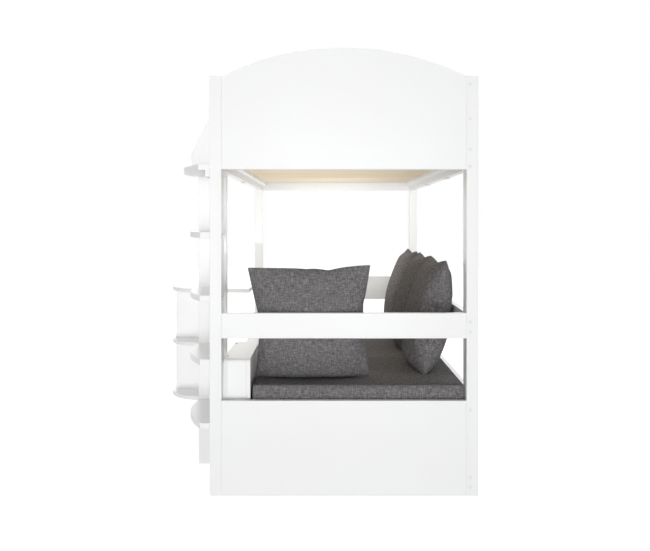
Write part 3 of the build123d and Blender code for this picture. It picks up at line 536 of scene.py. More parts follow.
@dataclass(frozen=True)
class MelangeLinen:
    """Plain-woven upholstery cloth of slubby melange yarn, linen look.

    It gives the eye a dark grey ground flecked with paler and darker short streaks along both
    yarn directions, and a dry matt face with no highlight.
    """

    name: str
    dark: str = "#5E5C5D"
    middle: str = "#797778"
    light: str = "#9A9899"
    yarn: float = 1.6 * MM
    slub_width: float = 4.0 * MM
    slub_length: float = 26.0 * MM
    mottle_size: float = 11.0 * MM
    pair_share: float = 0.36
    mottle_share: float = 0.35
    tone_range: tuple[float, float] = (0.74, 1.34)
    over_range: tuple[float, float] = (-0.25, 0.25)
    weave_depth: float = 0.5 * MM
    weave_strength: float = 0.7

    def build(self) -> bpy.types.Material:
        """Make the material.

        Yarns are about 0.8 mm apart in such a cloth; they are drawn twice as coarse to show.

        Returns:
            The cloth's material.
        """
        material, tree = new_material(self.name)
        weave = add_node(tree, "ShaderNodeUVMap", uv_map=WEAVE_MAP).outputs["UV"]
        warp, weft = (
            cloudy(
                tree, vector_maths(tree, "MULTIPLY", weave, stretch), scale=1.0, detail=3.0,
                roughness=0.6, plane="2D",
            )
            for stretch in (
                (1 / self.slub_width, 1 / self.slub_length, 1.0),
                (1 / self.slub_length, 1 / self.slub_width, 1.0),
            )
        )
        mottle = cloudy(tree, weave, 1 / self.mottle_size, detail=2.0, plane="2D")
        turned = vector_maths(tree, "MULTIPLY", weave, (math.pi / self.yarn,) * 3)
        waves = vector_maths(tree, "SINE", turned)
        yarns = add_node(tree, "ShaderNodeSeparateXYZ", {"Vector": waves}).outputs
        crossing = maths(tree, "MULTIPLY", yarns["X"], yarns["Y"])
        over = ranged(tree, crossing, 0.0, 1.0, *self.over_range)
        streak = mixed_level(tree, over, warp, weft)
        pair = maths(tree, "ADD", warp, weft)
        blend = maths(tree, "MULTIPLY_ADD", pair, self.pair_share, streak)
        tone = maths(tree, "MULTIPLY_ADD", mottle, self.mottle_share, blend)
        level = ranged(tree, tone, 0.0, 1.0, *self.tone_range)
        arches = vector_maths(tree, "ABSOLUTE", waves)
        humps = add_node(tree, "ShaderNodeSeparateXYZ", {"Vector": arches}).outputs
        height = maths(tree, "ADD", mixed_level(tree, over, humps["X"], humps["Y"]), streak)
        close_surface(tree, {
            "Base Color": graded(tree, level, {0.0: self.dark, 0.5: self.middle, 1.0: self.light}),
            "Normal": relief(tree, height, self.weave_strength, self.weave_depth),
            "Roughness": 1.0, "IOR": 1.45, "Specular IOR Level": 0.08,
        })
        return material


@dataclass(frozen=True)
class ZincPlatedSteel:
    """Bright zinc-plated mild steel.

    It gives the eye a pale bluish metal with a slightly cloudy sheen and no mirror image.
    """

    name: str = "zinc_plated_steel"
    colour: str = "#C9CCCE"
    shade: str = "#A9ADB0"
    cloud_size: float = 4.0 * MM
    roughness: tuple[float, float] = (0.24, 0.42)

    def build(self) -> bpy.types.Material:
        """Make the material.

        Returns:
            The steel's material.
        """
        material, tree = new_material(self.name)
        cloud = cloudy(tree, object_place(tree), 1 / self.cloud_size, detail=4.0)
        close_surface(tree, {
            "Base Color": graded(tree, cloud, {0.0: self.shade, 1.0: self.colour}),
            "Roughness": ranged(tree, cloud, *self.roughness),
            "Metallic": 1.0,
        })
        return material


@dataclass(frozen=True)
class MouldedPlastic:
    """Injection-moulded polypropylene with a fine spark-eroded texture.

    It gives the eye a soft, slightly waxy white or grey with a broad dull highlight.
    """

    name: str
    colour: str
    texture_size: float = 0.6 * MM
    texture_depth: float = 0.04 * MM
    roughness: tuple[float, float] = (0.42, 0.56)

    def build(self) -> bpy.types.Material:
        """Make the material.

        Returns:
            The plastic's material.
        """
        material, tree = new_material(self.name)
        grain = cloudy(tree, object_place(tree), 1 / self.texture_size, detail=2.0)
        close_surface(tree, {
            "Base Color": linear(self.colour),
            "Roughness": ranged(tree, grain, *self.roughness),
            "Normal": relief(tree, grain, strength=0.15, depth=self.texture_depth),
            "IOR": 1.49,
        })
        return material


class Finish(Enum):
    """The record's material slots."""

    LACQUER = "white_lacquer"
    PINE = "pine"
    BEECH = "beech"
    MATTRESS_CLOTH = "mattress_fabric"
    CUSHION_CLOTH = "cushion_fabric"
    STEEL = "zinc_steel"
    CAP = "cap_plastic"
    CLIP = "clip_plastic"


FINISHES = {
    Finish.LACQUER: SatinLacquer(),
    Finish.PINE: PlanedPine(),
    Finish.BEECH: PlanedPine("turned_beech", "#D9B98F", "#B98F5F", "#A77B4C", 1.5 * MM),
    Finish.MATTRESS_CLOTH: MelangeLinen("melange_linen_mattress"),
    Finish.CUSHION_CLOTH: MelangeLinen("melange_linen_cushion"),
    Finish.STEEL: ZincPlatedSteel(),
    Finish.CAP: MouldedPlastic("moulded_grey_cap", "#E6E7E7"),
    Finish.CLIP: MouldedPlastic("moulded_white_clip", "#E4E4E2"),
}


@dataclass
class Workshop:
    """The made materials, one for each slot, and the work of dressing frame nodes with them."""

    materials: dict[Finish, bpy.types.Material] = field(default_factory=dict)

    def __post_init__(self) -> None:
        """Build every finish once."""
        self.materials = {slot: finish.build() for slot, finish in FINISHES.items()}

    def dress(self, nodes: Iterable[str], finish: Finish) -> None:
        """Give frame nodes their finish.

        Args:
            nodes: Names of the nodes.
            finish: Their material slot.
        """
        for node in nodes:
            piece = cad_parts[node]
            if not piece.material_slots:
                piece.data.materials.append(None)
            for slot in piece.material_slots:
                slot.material = self.materials[finish]
            log.info("dressed %s in %s", node, finish.value)


# --- slat screws ----------------------------------------------------------------------------------
@dataclass
class SlatScrews:
    """Two countersunk cross-head screws at each end of each slat, held level with its face."""

    slats: str
    rows: int = 22
    pitch: float = 88.0 * MM
    head_radius: float = 3.8 * MM
    rim_steps: int = 24
    shank_share: float = 0.45
    sink_share: float = 0.7
    end_inset: float = 7.0 * MM
    pair_spacing: float = 40.0 * MM
    recess_depth: float = 1.4 * MM
    recess_arm: float = 2.3 * MM
    recess_width: float = 0.9 * MM
    proud: float = 0.2 * MM
    turn_seed: int = 7

    def head(self) -> bpy.types.Object:
        """Model one screw head with its cross recess, face up at the origin.

        Returns:
            The head, which is no piece of its own and goes once it is repeated.
        """
        arm, half = self.recess_arm, self.recess_width / 2
        corner = [(arm, -half), (arm, half), (half, half)]
        cross = [
            (x * math.cos(turn) - y * math.sin(turn), x * math.sin(turn) + y * math.cos(turn))
            for turn in (quarter * math.pi / 2 for quarter in range(4))
            for x, y in corner
        ]
        turns = [step * math.pi / (self.rim_steps / 2) for step in range(self.rim_steps)]
        rim = [(self.head_radius * math.cos(turn), self.head_radius * math.sin(turn)) for turn in turns]
        shape = bmesh.new()
        rings = []
        sections = (
            (rim, self.shank_share, -self.head_radius * self.sink_share), (rim, 1.0, 0.0),
            (cross, 1.0, 0.0), (cross, 1.0, -self.recess_depth),
        )
        for outline, scale, height in sections:
            rings.append([shape.verts.new((x * scale, y * scale, height)) for x, y in outline])
        edges = [
            [shape.edges.new((ring[index - 1], ring[index])) for index in range(len(ring))]
            for ring in rings
        ]
        bmesh.ops.bridge_loops(shape, edges=edges[0] + edges[1])
        bmesh.ops.triangle_fill(shape, use_beauty=True, use_dissolve=False, edges=edges[1] + edges[2])
        bmesh.ops.bridge_loops(shape, edges=edges[2] + edges[3])
        shape.faces.new(rings[3])
        shape.faces.new(rings[0][::-1])
        bmesh.ops.recalc_face_normals(shape, faces=shape.faces)
        return linked("screw_head", mesh_of(shape, "screw_head"))

    def rule(self, material: bpy.types.Material) -> Tree:
        """Lay out the rule that places the heads: a grid of points, each turned by a seeded amount.

        Args:
            material: The screws' finish.

        Returns:
            The node tree, with named inputs for its sizes.
        """
        tree, given = new_rule(f"{self.slats}_screw_grid", {
            "Width": "Float", "Length": "Float", "Rows": "Int", "Pair Spacing": "Float",
            "Centre": "Vector", "Head": "Object",
        })
        size = {"Size X": given["Width"], "Size Y": given["Length"]}
        count = {"Vertices X": 2, "Vertices Y": given["Rows"]}
        grid = add_node(tree, "GeometryNodeMeshGrid", {**size, **count})
        step = add_node(tree, "ShaderNodeCombineXYZ", {"Y": given["Pair Spacing"]}).outputs[0]
        back = vector_maths(tree, "MULTIPLY", step, (0.0, -0.5, 0.0))
        line = {"Count": 2, "Offset": step, "Start Location": back}
        pair = add_node(tree, "GeometryNodeMeshLine", line, mode="OFFSET")
        doubled = add_node(
            tree, "GeometryNodeInstanceOnPoints",
            {"Points": grid.outputs["Mesh"], "Instance": pair.outputs["Mesh"]},
        )
        spots = add_node(tree, "GeometryNodeRealizeInstances", {"Geometry": doubled.outputs[0]})
        shape = add_node(tree, "GeometryNodeObjectInfo", {"Object": given["Head"]})
        limits = {"Min": (0.0, 0.0, 0.0), "Max": (0.0, 0.0, math.pi), "Seed": self.turn_seed}
        turn = add_node(tree, "FunctionNodeRandomValue", limits, data_type="FLOAT_VECTOR")
        heads = add_node(
            tree,
            "GeometryNodeInstanceOnPoints",
            {
                "Points": spots.outputs["Geometry"],
                "Instance": shape.outputs["Geometry"],
                "Rotation": turn.outputs["Value"],
            },
        )
        placed = add_node(
            tree, "GeometryNodeTransform", {"Geometry": heads.outputs[0], "Translation": given["Centre"]}
        )
        close_rule(tree, placed.outputs[0], material)
        return tree

    def build(self, workshop: Workshop) -> bpy.types.Object:
        """Place the screws and bake them to a plain mesh.

        Args:
            workshop: The made materials.

        Returns:
            The screws of one row of slats.
        """
        low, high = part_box(self.slats)
        head = self.head()
        steel = workshop.materials[Finish.STEEL]
        source = linked("screw_source", bpy.data.meshes.new("screw_source"))
        mesh = run_rule(source, self.rule(steel), {
            "Width": high.x - low.x - 2 * self.end_inset,
            "Length": (self.rows - 1) * self.pitch,
            "Rows": self.rows,
            "Pair Spacing": self.pair_spacing,
            "Centre": ((low.x + high.x) / 2, (low.y + high.y) / 2, high.z + self.proud),
            "Head": head,
        })
        bpy.data.objects.remove(head)
        screws = object_from(f"{self.slats}_screws", mesh, steel)
        mesh.polygons.foreach_set("use_smooth", [False] * len(mesh.polygons))
        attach(screws, "bed_frame")
        log.info("built %s", screws.name)
        return screws


# --- soft goods -------------------------------------------------------------------------------------
@dataclass
class Mattress:
    """A foam seat mattress in a box-edged cover with sewn top and bottom seams."""

    node: str = "seat_mattress"
    body: str = "mattress"
    inset: float = 0.5 * MM
    loft: float = 6.0 * MM
    edge_radius: float = 9.0 * MM
    corner_radius: float = 9.0 * MM
    corner_steps: int = 8
    edge_lines: tuple[float, ...] = (0.0, 0.15, 0.35, 0.6, 1.0, 1.6)
    spacing: float = 20.0 * MM
    wave: float = 1.1 * MM
    wave_size: float = 0.16
    crease: float = 0.35 * MM
    crease_size: float = 0.035
    side_folds: float = 2.0
    hollow: float = 2.0 * MM
    top_zone: float = 0.9
    side_zone: float = 0.96
    side_sink: float = 0.6
    seam_radius: float = 1.1 * MM
    seam_share: float = 0.35
    seam_inset: float = 0.32
    stitch_pitch: float = 5.0 * MM
    stitch_length: float = 3.2 * MM
    stitch_radius: float = 0.35 * MM
    stitch_drop: float = 4.0 * MM
    stitch_inset: float = 3.0
    thread_sides: int = 6

    def stations(self, half: float, radius: float) -> list[float]:
        """Spread grid lines over one axis, closer together round the edges.

        Args:
            half: Half the mattress's length along the axis.
            radius: Radius of the rounding at the two ends.

        Returns:
            Places of the grid lines, from low to high.
        """
        edge = [half - radius * share for share in self.edge_lines]
        count = max(2, round(2 * edge[-1] / self.spacing))
        inner = [-edge[-1] + 2 * edge[-1] * step / count for step in range(1, count)]
        return [-place for place in edge] + inner + edge[::-1]

    def shell(self, half: Vector) -> bpy.types.Mesh:
        """Model the cover as a plain box shell of quads, closer together round its edges.

        Args:
            half: Half the mattress's size along each axis.

        Returns:
            The shell's mesh, centred on the origin.
        """
        radii = (self.corner_radius, self.corner_radius, self.edge_radius)
        lines = [self.stations(reach, radius) for reach, radius in zip(half, radii)]
        last = [len(line) - 1 for line in lines]
        shape = bmesh.new()
        made: dict[tuple[int, int, int], bmesh.types.BMVert] = {}

        def corner(i: int, j: int, k: int) -> bmesh.types.BMVert:
            """Return the shell's vertex at a grid crossing, made once."""
            if (i, j, k) not in made:
                made[i, j, k] = shape.verts.new((lines[0][i], lines[1][j], lines[2][k]))
            return made[i, j, k]

        for axis in range(3):
            first, second = [other for other in range(3) if other != axis]
            for side in (0, last[axis]):
                for a in range(last[first]):
                    for b in range(last[second]):
                        quad = []
                        for step_a, step_b in ((0, 0), (1, 0), (1, 1), (0, 1)):
                            spot = [0, 0, 0]
                            spot[axis], spot[first], spot[second] = side, a + step_a, b + step_b
                            quad.append(corner(*spot))
                        shape.faces.new(quad)
        bmesh.ops.recalc_face_normals(shape, faces=shape.faces)
        return mesh_of(shape, "mattress_shell")

    def rounded(self, points: np.ndarray, half: Vector) -> np.ndarray:
        """Round the shell's upright corners and then its long edges.

        Args:
            points: The shell's points.
            half: Half the mattress's size along each axis.

        Returns:
            The rounded points.
        """
        tiny = 1e-9
        out = points.copy()
        core = np.array([half.x, half.y]) - self.corner_radius
        base = np.clip(out[:, :2], -core, core)
        away = out[:, :2] - base
        length = np.linalg.norm(away, axis=1)
        reach = np.max(np.abs(away), axis=1)
        scale = np.where(length > tiny, reach / np.maximum(length, tiny), 1.0)
        out[:, :2] = base + away * scale[:, None]
        rim = np.clip(reach / self.corner_radius, 0.0, 1.0)
        from_edge = (1.0 - rim) * self.corner_radius
        inner = np.clip(self.edge_radius - from_edge, 0.0, None)
        top = half.z - self.edge_radius
        over = np.clip(np.abs(out[:, 2]) - top, 0.0, None)
        bent = np.hypot(inner, over)
        pull = np.where(bent > self.edge_radius, self.edge_radius / np.maximum(bent, tiny), 1.0)
        direction = away / np.maximum(length, tiny)[:, None]
        out[:, :2] -= direction * (inner * (1.0 - pull))[:, None]
        out[:, 2] -= np.sign(out[:, 2]) * over * (1.0 - pull)
        return out

    def softened(self, points: np.ndarray, half: Vector) -> np.ndarray:
        """Give the cover the low waves and faint puckers of cloth over foam.

        Args:
            points: The rounded points.
            half: Half the mattress's size along each axis.

        Returns:
            The softened points, nowhere outside the mattress's size.
        """
        out = points.copy()
        for index, (x, y, z) in enumerate(points):
            spot = Vector((x, y, z * self.side_folds))
            sway = noise.noise(spot / self.wave_size) * self.wave
            pucker = noise.noise(spot / self.crease_size) * self.crease
            sink = abs(sway + pucker)
            if abs(z) / half.z > self.top_zone:
                out[index, 2] -= math.copysign(sink, z)
            if max(abs(x) / half.x, abs(y) / half.y) > self.side_zone:
                bulge = (1 - (z / half.z) ** 2) * self.hollow - self.hollow - sink * self.side_sink
                flat = Vector((x / half.x, y / half.y, 0.0)).normalized()
                out[index, 0] += flat.x * bulge
                out[index, 1] += flat.y * bulge
        return out

    def seam_ring(self, centre: Vector, half: Vector, height: float, inset: float) -> list[Vector]:
        """Lay the ring that a seam or a row of stitches follows round the cover.

        Args:
            centre: Middle of the mattress.
            half: Half its size along each axis.
            height: Height of the ring above the middle.
            inset: How far the ring lies inside the sides.

        Returns:
            The ring's points, in order.
        """
        radius, steps = self.corner_radius, self.corner_steps
        reach_x, reach_y = half.x - inset, half.y - inset
        ring = []
        for quarter, (sign_x, sign_y) in enumerate(((1, 1), (-1, 1), (-1, -1), (1, -1))):
            middle = Vector((sign_x * (reach_x - radius), sign_y * (reach_y - radius), height))
            for step in range(steps + 1):
                turn = (quarter + step / steps) * math.pi / 2
                ring.append(centre + middle + Vector((math.cos(turn), math.sin(turn), 0.0)) * radius)
        return ring

    def stitches(self, ring: Sequence[Vector], name: str, workshop: Workshop) -> bpy.types.Object:
        """Sew a row of stitches along a ring.

        Args:
            ring: The ring's points, in order.
            name: Name of the row.
            workshop: The made materials.

        Returns:
            The stitches as one plain mesh.
        """
        material = workshop.materials[Finish.MATTRESS_CLOTH]
        sizes = {
            "Pitch": self.stitch_pitch,
            "Stitch Length": self.stitch_length,
            "Thread Radius": self.stitch_radius,
        }
        kinds = {"Geometry": "Geometry", **dict.fromkeys(sizes, "Float")}
        tree, given = new_rule(f"{name}_rule", kinds)
        spots = add_node(
            tree, "GeometryNodeCurveToPoints", {"Curve": given["Geometry"], "Length": given["Pitch"]},
            mode="LENGTH",
        )
        thread = add_node(
            tree, "GeometryNodeMeshCylinder",
            {
                "Vertices": self.thread_sides,
                "Radius": given["Thread Radius"],
                "Depth": given["Stitch Length"],
            },
        )
        sewn = add_node(
            tree, "GeometryNodeInstanceOnPoints",
            {
                "Points": spots.outputs["Points"],
                "Instance": thread.outputs["Mesh"],
                "Rotation": spots.outputs["Rotation"],
            },
        )
        close_rule(tree, sewn.outputs[0], material)
        mesh = run_rule(ring_curve(name, ring), tree, sizes)
        project_weave(mesh)
        return object_from(name, mesh, material)

    def build(self, workshop: Workshop) -> None:
        """Model the mattress with its seams and stitches, and set it on its body.

        Args:
            workshop: The made materials.
        """
        low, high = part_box(self.node)
        high.z += self.loft
        centre = (low + high) / 2
        half = (high - low) / 2 - Vector((self.inset, self.inset, 0.0))
        mesh = self.shell(half)
        points = self.softened(self.rounded(mesh_points(mesh), half), half)
        move_points(mesh, points + np.array(centre))
        project_weave(mesh)
        cloth = workshop.materials[Finish.MATTRESS_CLOTH]
        cover = object_from("mattress_cover", mesh, cloth)
        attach(cover, self.body)
        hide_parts(self.node)
        log.info("built %s", cover.name)
        for label, side in (("top", 1), ("bottom", -1)):
            lift = half.z - self.edge_radius * self.seam_share
            ring = self.seam_ring(centre, half, side * lift, self.edge_radius * self.seam_inset)
            seam = object_from(f"mattress_{label}_seam", cord_mesh(ring, self.seam_radius), cloth)
            under = side * (lift - self.stitch_drop)
            sewn = self.seam_ring(centre, half, under, self.stitch_radius * self.stitch_inset)
            row = self.stitches(sewn, f"mattress_{label}_stitches", workshop)
            for piece in (seam, row):
                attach(piece, self.body)
                log.info("built %s", piece.name)


@dataclass(frozen=True)
class Rest:
    """A flat face that presses into cushions, seen as a limit along one axis."""

    axis: int
    limit: float
    side: int
    span_axis: int = 2
    span: tuple[float, float] = (-10.0, 10.0)
    fade: float = 30.0 * MM

    def press(self, points: np.ndarray, settle: float) -> np.ndarray:
        """Push points back to their side of the face, with a soft bend towards it.

        Args:
            points: Points in the frame's metres.
            settle: Distance over which the cloth bends to meet the face.

        Returns:
            The pushed points.
        """
        clear = 30.0  # Past this many settling distances the cloth hangs free.
        out = points.copy()
        depth = (points[:, self.axis] - self.limit) * self.side / settle
        eased = np.where(depth > clear, depth, np.log1p(np.exp(np.minimum(depth, clear)))) * settle
        pushed = self.limit + self.side * eased
        level = points[:, self.span_axis]
        beyond = np.maximum(self.span[0] - level, level - self.span[1])
        weight = np.clip(1.0 - beyond / self.fade, 0.0, 1.0)
        weight = weight * weight * (3.0 - 2.0 * weight)
        out[:, self.axis] = points[:, self.axis] * (1 - weight) + pushed * weight
        return out


class Lean(Enum):
    """Which way a cushion leans: its width direction and the direction it leans towards."""

    NEAR_END = (Vector((1.0, 0.0, 0.0)), Vector((0.0, -1.0, 0.0)))
    WALL_SIDE = (Vector((0.0, 1.0, 0.0)), Vector((1.0, 0.0, 0.0)))


@dataclass
class Cushion:
    """A loose knife-edged cushion: two flat panels sewn together and filled until they swell.

    Its shift, start_loft and start_ripple are in millimetres.
    """

    node: str
    body: str
    lean: Lean
    tilt: float
    seed: int
    roll: float = 0.0
    shift: Spot = (0.0, 0.0, 0.0)
    width: float = 465.0 * MM
    height: float = 470.0 * MM
    thickness: float = 184.0 * MM
    crown: float = 0.4
    sag: float = 0.12
    fullness: float = 1.0
    cells: int = 72
    cut_share: float = 1.08
    start_loft: float = 12.0
    start_ripple: float = 3.0
    ripples: int = 3
    side_bow: float = 0.0
    top_bow: float = 0.035
    foot_bow: float = 0.08
    foot_taper: float = 0.0
    corner_trim: float = 0.035
    trim_power: int = 4
    pressure: float = 3.1
    stretch_stiffness: float = 15.0
    shear_stiffness: float = 4.0
    bend_stiffness: float = 0.5
    damping: float = 10.0
    frames: int = 22
    ease: int = 10
    seam_radius: float = 1.0 * MM
    settle: float = 3.0 * MM

    @property
    def cut_size(self) -> tuple[float, float]:
        """Return the width and height of the flat panels, before filling draws them in."""
        return self.width * self.cut_share, self.height * self.cut_share

    def cut_point(self, layer: int, i: int, j: int) -> Spot:
        """Place one point of the flat cover.

        Args:
            layer: 1 for the front panel, -1 for the back one.
            i: Its column.
            j: Its row.

        Returns:
            Its place: across, up, and out of the cover's plane.
        """
        across, up = self.cut_size
        u, v = 2 * i / self.cells - 1, 2 * j / self.cells - 1
        loft = (1 - u * u) * (1 - v * v)
        ripple = noise.noise(Vector((u * self.ripples + self.seed, v * self.ripples, layer)))
        rise = layer * loft * (self.start_loft + self.start_ripple * ripple) * MM
        trim = 1 - self.corner_trim * (u * v) ** self.trim_power
        x = u * across / 2 * (1 + self.side_bow * (1 - v * v)) * trim
        bow = self.top_bow if v > 0 else self.foot_bow
        y = v * up / 2 * (1 + bow * (1 - u * u)) * trim
        return x, y, rise

    def cover(self) -> bpy.types.Object:
        """Cut and sew the flat cover: two square panels that share their edges.

        Returns:
            The cover, flat on its own middle plane, with its weave map and its marked seam.
        """
        across, up = self.cut_size
        shape = bmesh.new()
        weave = shape.loops.layers.uv.new(WEAVE_MAP)
        seam = shape.verts.layers.float.new(SEAM_MARK)
        made: dict[tuple[int, int, int], bmesh.types.BMVert] = {}
        grid = [(i, j) for i in range(self.cells + 1) for j in range(self.cells + 1)]
        for layer in (1, -1):
            for i, j in grid:
                border = i in (0, self.cells) or j in (0, self.cells)
                if border and layer == -1:
                    made[layer, i, j] = made[1, i, j]
                    continue
                spot = shape.verts.new(self.cut_point(layer, i, j))
                spot[seam] = 1.0 if border else 0.0
                made[layer, i, j] = spot
        for layer in (1, -1):
            for i, j in grid:
                if self.cells in (i, j):
                    continue
                spots = [(i, j), (i + 1, j), (i + 1, j + 1), (i, j + 1)][::layer]
                face = shape.faces.new([made[layer, a, b] for a, b in spots])
                for loop, (a, b) in zip(face.loops, spots):
                    loop[weave].uv = (a / self.cells * across + self.seed, b / self.cells * up)
        return linked(self.node, mesh_of(shape, self.node))

    def fill(self, cover: bpy.types.Object) -> bpy.types.Mesh:
        """Blow the cover up with Cloth pressure, which draws its sides in and puckers its seam.

        Args:
            cover: The flat cover, which is used up.

        Returns:
            The filled cover's mesh, with one subdivision.
        """
        cloth = cover.modifiers.new("fill", "CLOTH")
        values = {
            "quality": 6, "mass": 0.3, "air_damping": 3.0,
            "tension_stiffness": self.stretch_stiffness, "tension_damping": self.damping,
            "compression_stiffness": self.stretch_stiffness, "compression_damping": self.damping,
            "shear_stiffness": self.shear_stiffness, "shear_damping": self.damping,
            "bending_stiffness": self.bend_stiffness,
            "use_pressure": True, "uniform_pressure_force": self.pressure,
        }
        for name, value in values.items():
            setattr(cloth.settings, name, value)
        cloth.settings.effector_weights.gravity = 0.0
        cloth.point_cache.frame_start, cloth.point_cache.frame_end = 1, self.frames
        for number in range(1, self.frames + 1):
            bpy.context.scene.frame_set(number)
        ease = cover.modifiers.new("ease", "SMOOTH")
        ease.factor, ease.iterations = 0.5, self.ease
        smooth = cover.modifiers.new("smooth", "SUBSURF")
        smooth.levels = smooth.render_levels = 1
        mesh = baked(cover)
        bpy.context.scene.frame_set(1)
        return mesh

    def sized(self, points: np.ndarray) -> np.ndarray:
        """Bring the filled cover to the cushion's width, height and thickness.

        Args:
            points: The filled cover's points on its own plane.

        Returns:
            The points at the real size, centred.
        """
        low, high = points.min(0), points.max(0)
        target = np.array([self.width, self.height, self.thickness])
        out = (points - (low + high) / 2) * (target / (high - low))
        u, v = np.clip(2 * out[:, 0] / self.width, -1, 1), np.clip(2 * out[:, 1] / self.height, -1, 1)
        deepest = np.abs(out[:, 2]).max()
        out[:, 2] = np.sign(out[:, 2]) * deepest * (np.abs(out[:, 2]) / deepest) ** self.fullness
        out[:, 2] *= (1 - self.crown * u**2) * (1 - self.crown * (v + self.sag) ** 2)
        out[:, 2] *= self.thickness / np.ptp(out[:, 2])
        out[:, 0] *= 1 - self.foot_taper * np.clip(-v, 0, 1)
        return out

    def placed(self, points: np.ndarray) -> np.ndarray:
        """Stand the cushion on the mattress and lean it against its rail.

        Args:
            points: The points on the cushion's own plane: across, up and out of it.

        Returns:
            The points in the frame's metres.
        """
        low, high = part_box(self.node)
        centre = (low + high) / 2 + Vector(self.shift) * MM
        level, towards = self.lean.value
        tilt, roll = math.radians(self.tilt), math.radians(self.roll)
        above = Vector((0.0, 0.0, 1.0))
        upright = above * math.cos(tilt) + towards * math.sin(tilt)
        out = towards * math.cos(tilt) - above * math.sin(tilt)
        across = level * math.cos(roll) + upright * math.sin(roll)
        up = upright * math.cos(roll) - level * math.sin(roll)
        return points @ np.array([across, up, out]) + np.array(centre)

    def pressed(self, points: np.ndarray, rests: Iterable[Rest]) -> np.ndarray:
        """Flatten the cushion softly where it meets what it rests on.

        Args:
            points: The placed points.
            rests: The faces that it meets.

        Returns:
            The pressed points.
        """
        for rest in rests:
            points = rest.press(points, self.settle)
        return points

    def seam_loop(self, mesh: bpy.types.Mesh) -> list[Vector]:
        """Follow the marked seam round a finished cushion.

        Args:
            mesh: The cushion's mesh.

        Returns:
            The seam's points, in order.
        """
        marks = mesh.attributes[SEAM_MARK].data
        on_seam = {vertex.index for vertex in mesh.vertices if marks[vertex.index].value > SEAM_LEVEL}
        beside: dict[int, list[int]] = {index: [] for index in on_seam}
        for edge in mesh.edges:
            first, second = edge.vertices
            if first in on_seam and second in on_seam:
                beside[first].append(second)
                beside[second].append(first)
        start = min(on_seam)
        ring, last = [start], None
        while True:
            onward = [index for index in beside[ring[-1]] if index != last]
            last = ring[-1]
            if onward[0] == start or len(ring) > len(on_seam):
                break
            ring.append(onward[0])
        return [mesh.vertices[index].co.copy() for index in ring]

    def build(self, workshop: Workshop, rests: Iterable[Rest]) -> None:
        """Make the cushion and its sewn edge, and set them on their body.

        Args:
            workshop: The made materials.
            rests: The faces that the cushion rests on.
        """
        mesh = self.fill(self.cover())
        points = self.pressed(self.placed(self.sized(mesh_points(mesh))), rests)
        move_points(mesh, points)
        material = workshop.materials[Finish.CUSHION_CLOTH]
        cushion = object_from(f"{self.node}_cover", mesh, material)
        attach(cushion, self.body)
        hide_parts(self.node)
        cord = cord_mesh(self.seam_loop(mesh), self.seam_radius, 1)
        seam = object_from(f"{self.node}_seam", cord, material)
        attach(seam, self.body)
        log.info("built %s and %s", cushion.name, seam.name)


# --- sub-assemblies -------------------------------------------------------------------------------
@dataclass
class SubAssembly:
    """A part of the bed whose boards are lacquered and whose metal fittings are left bright."""

    boards: tuple[str, ...] = ()
    fittings: tuple[str, ...] = ()

    def build(self, workshop: Workshop) -> None:
        """Dress the boards and the fittings."""
        workshop.dress(self.boards, Finish.LACQUER)
        workshop.dress(self.fittings, Finish.STEEL)


@dataclass
class BedFrame(SubAssembly):
    """The posts, end panels, rails and cleats, and the pine slats with their screws."""

    boards: tuple[str, ...] = (
        "near_left_post", "near_right_post", "far_left_post", "far_right_post",
        "near_upper_panel", "near_mid_rail", "near_lower_panel",
        "far_upper_panel", "far_mid_rail", "far_lower_panel", "far_inner_rail",
        "upper_rail_left", "upper_rail_right", "upper_cleats", "guard_left", "guard_right",
        "seat_rail_left", "seat_rail_right", "seat_cleats", "rear_mid_rail", "rear_floor_rail",
        "front_ledge", "ledge_bearers",
    )
    slat_rows: tuple[SlatScrews, ...] = (SlatScrews("upper_slats"), SlatScrews("seat_slats"))

    def build(self, workshop: Workshop) -> None:
        """Lacquer the boards, leave the slats bare and screw them down.

        Args:
            workshop: The made materials.
        """
        super().build(workshop)
        for row in self.slat_rows:
            workshop.dress([row.slats], Finish.PINE)
            row.build(workshop)


@dataclass
class SideBox(SubAssembly):
    """The tall narrow box at the sofa's near left, with its lid and hinge."""

    boards: tuple[str, ...] = (
        "box_near_panel", "box_far_panel", "box_left_side", "box_right_side", "box_bottom", "box_lid",
    )
    fittings: tuple[str, ...] = ("hinge_pins", "lid_knuckles")


@dataclass
class Ladder(SubAssembly):
    """The step ladder: a cross panel, four treads, the top platform with its wing, and brackets."""

    boards: tuple[str, ...] = (
        "ladder_panel", "platform", "platform_bearer", "ladder_wing",
        "step_1", "step_2", "step_3", "step_4",
    )
    fittings: tuple[str, ...] = ("ladder_brackets",)


@dataclass
class ShelfUnit(SubAssembly):
    """The rounded shelves outside the far left post, on their upright and dividers."""

    boards: tuple[str, ...] = (
        "shelf_top", "shelf_middle", "shelf_bottom", "shelf_upright", "shelf_dividers",
    )


@dataclass
class Fasteners(SubAssembly):
    """The bolts, nuts, screws, caps, clips and dowels that hold the boards together."""

    fittings: tuple[str, ...] = ("rail_bolts", "side_bolts", "barrel_nuts", "board_screws")
    caps: tuple[str, ...] = ("bolt_caps",)
    clips: tuple[str, ...] = ("rail_clips",)
    dowels: tuple[str, ...] = ("dowels",)

    def build(self, workshop: Workshop) -> None:
        """Give each kind of fastener its own material.

        Args:
            workshop: The made materials.
        """
        super().build(workshop)
        workshop.dress(self.caps, Finish.CAP)
        workshop.dress(self.clips, Finish.CLIP)
        workshop.dress(self.dowels, Finish.BEECH)


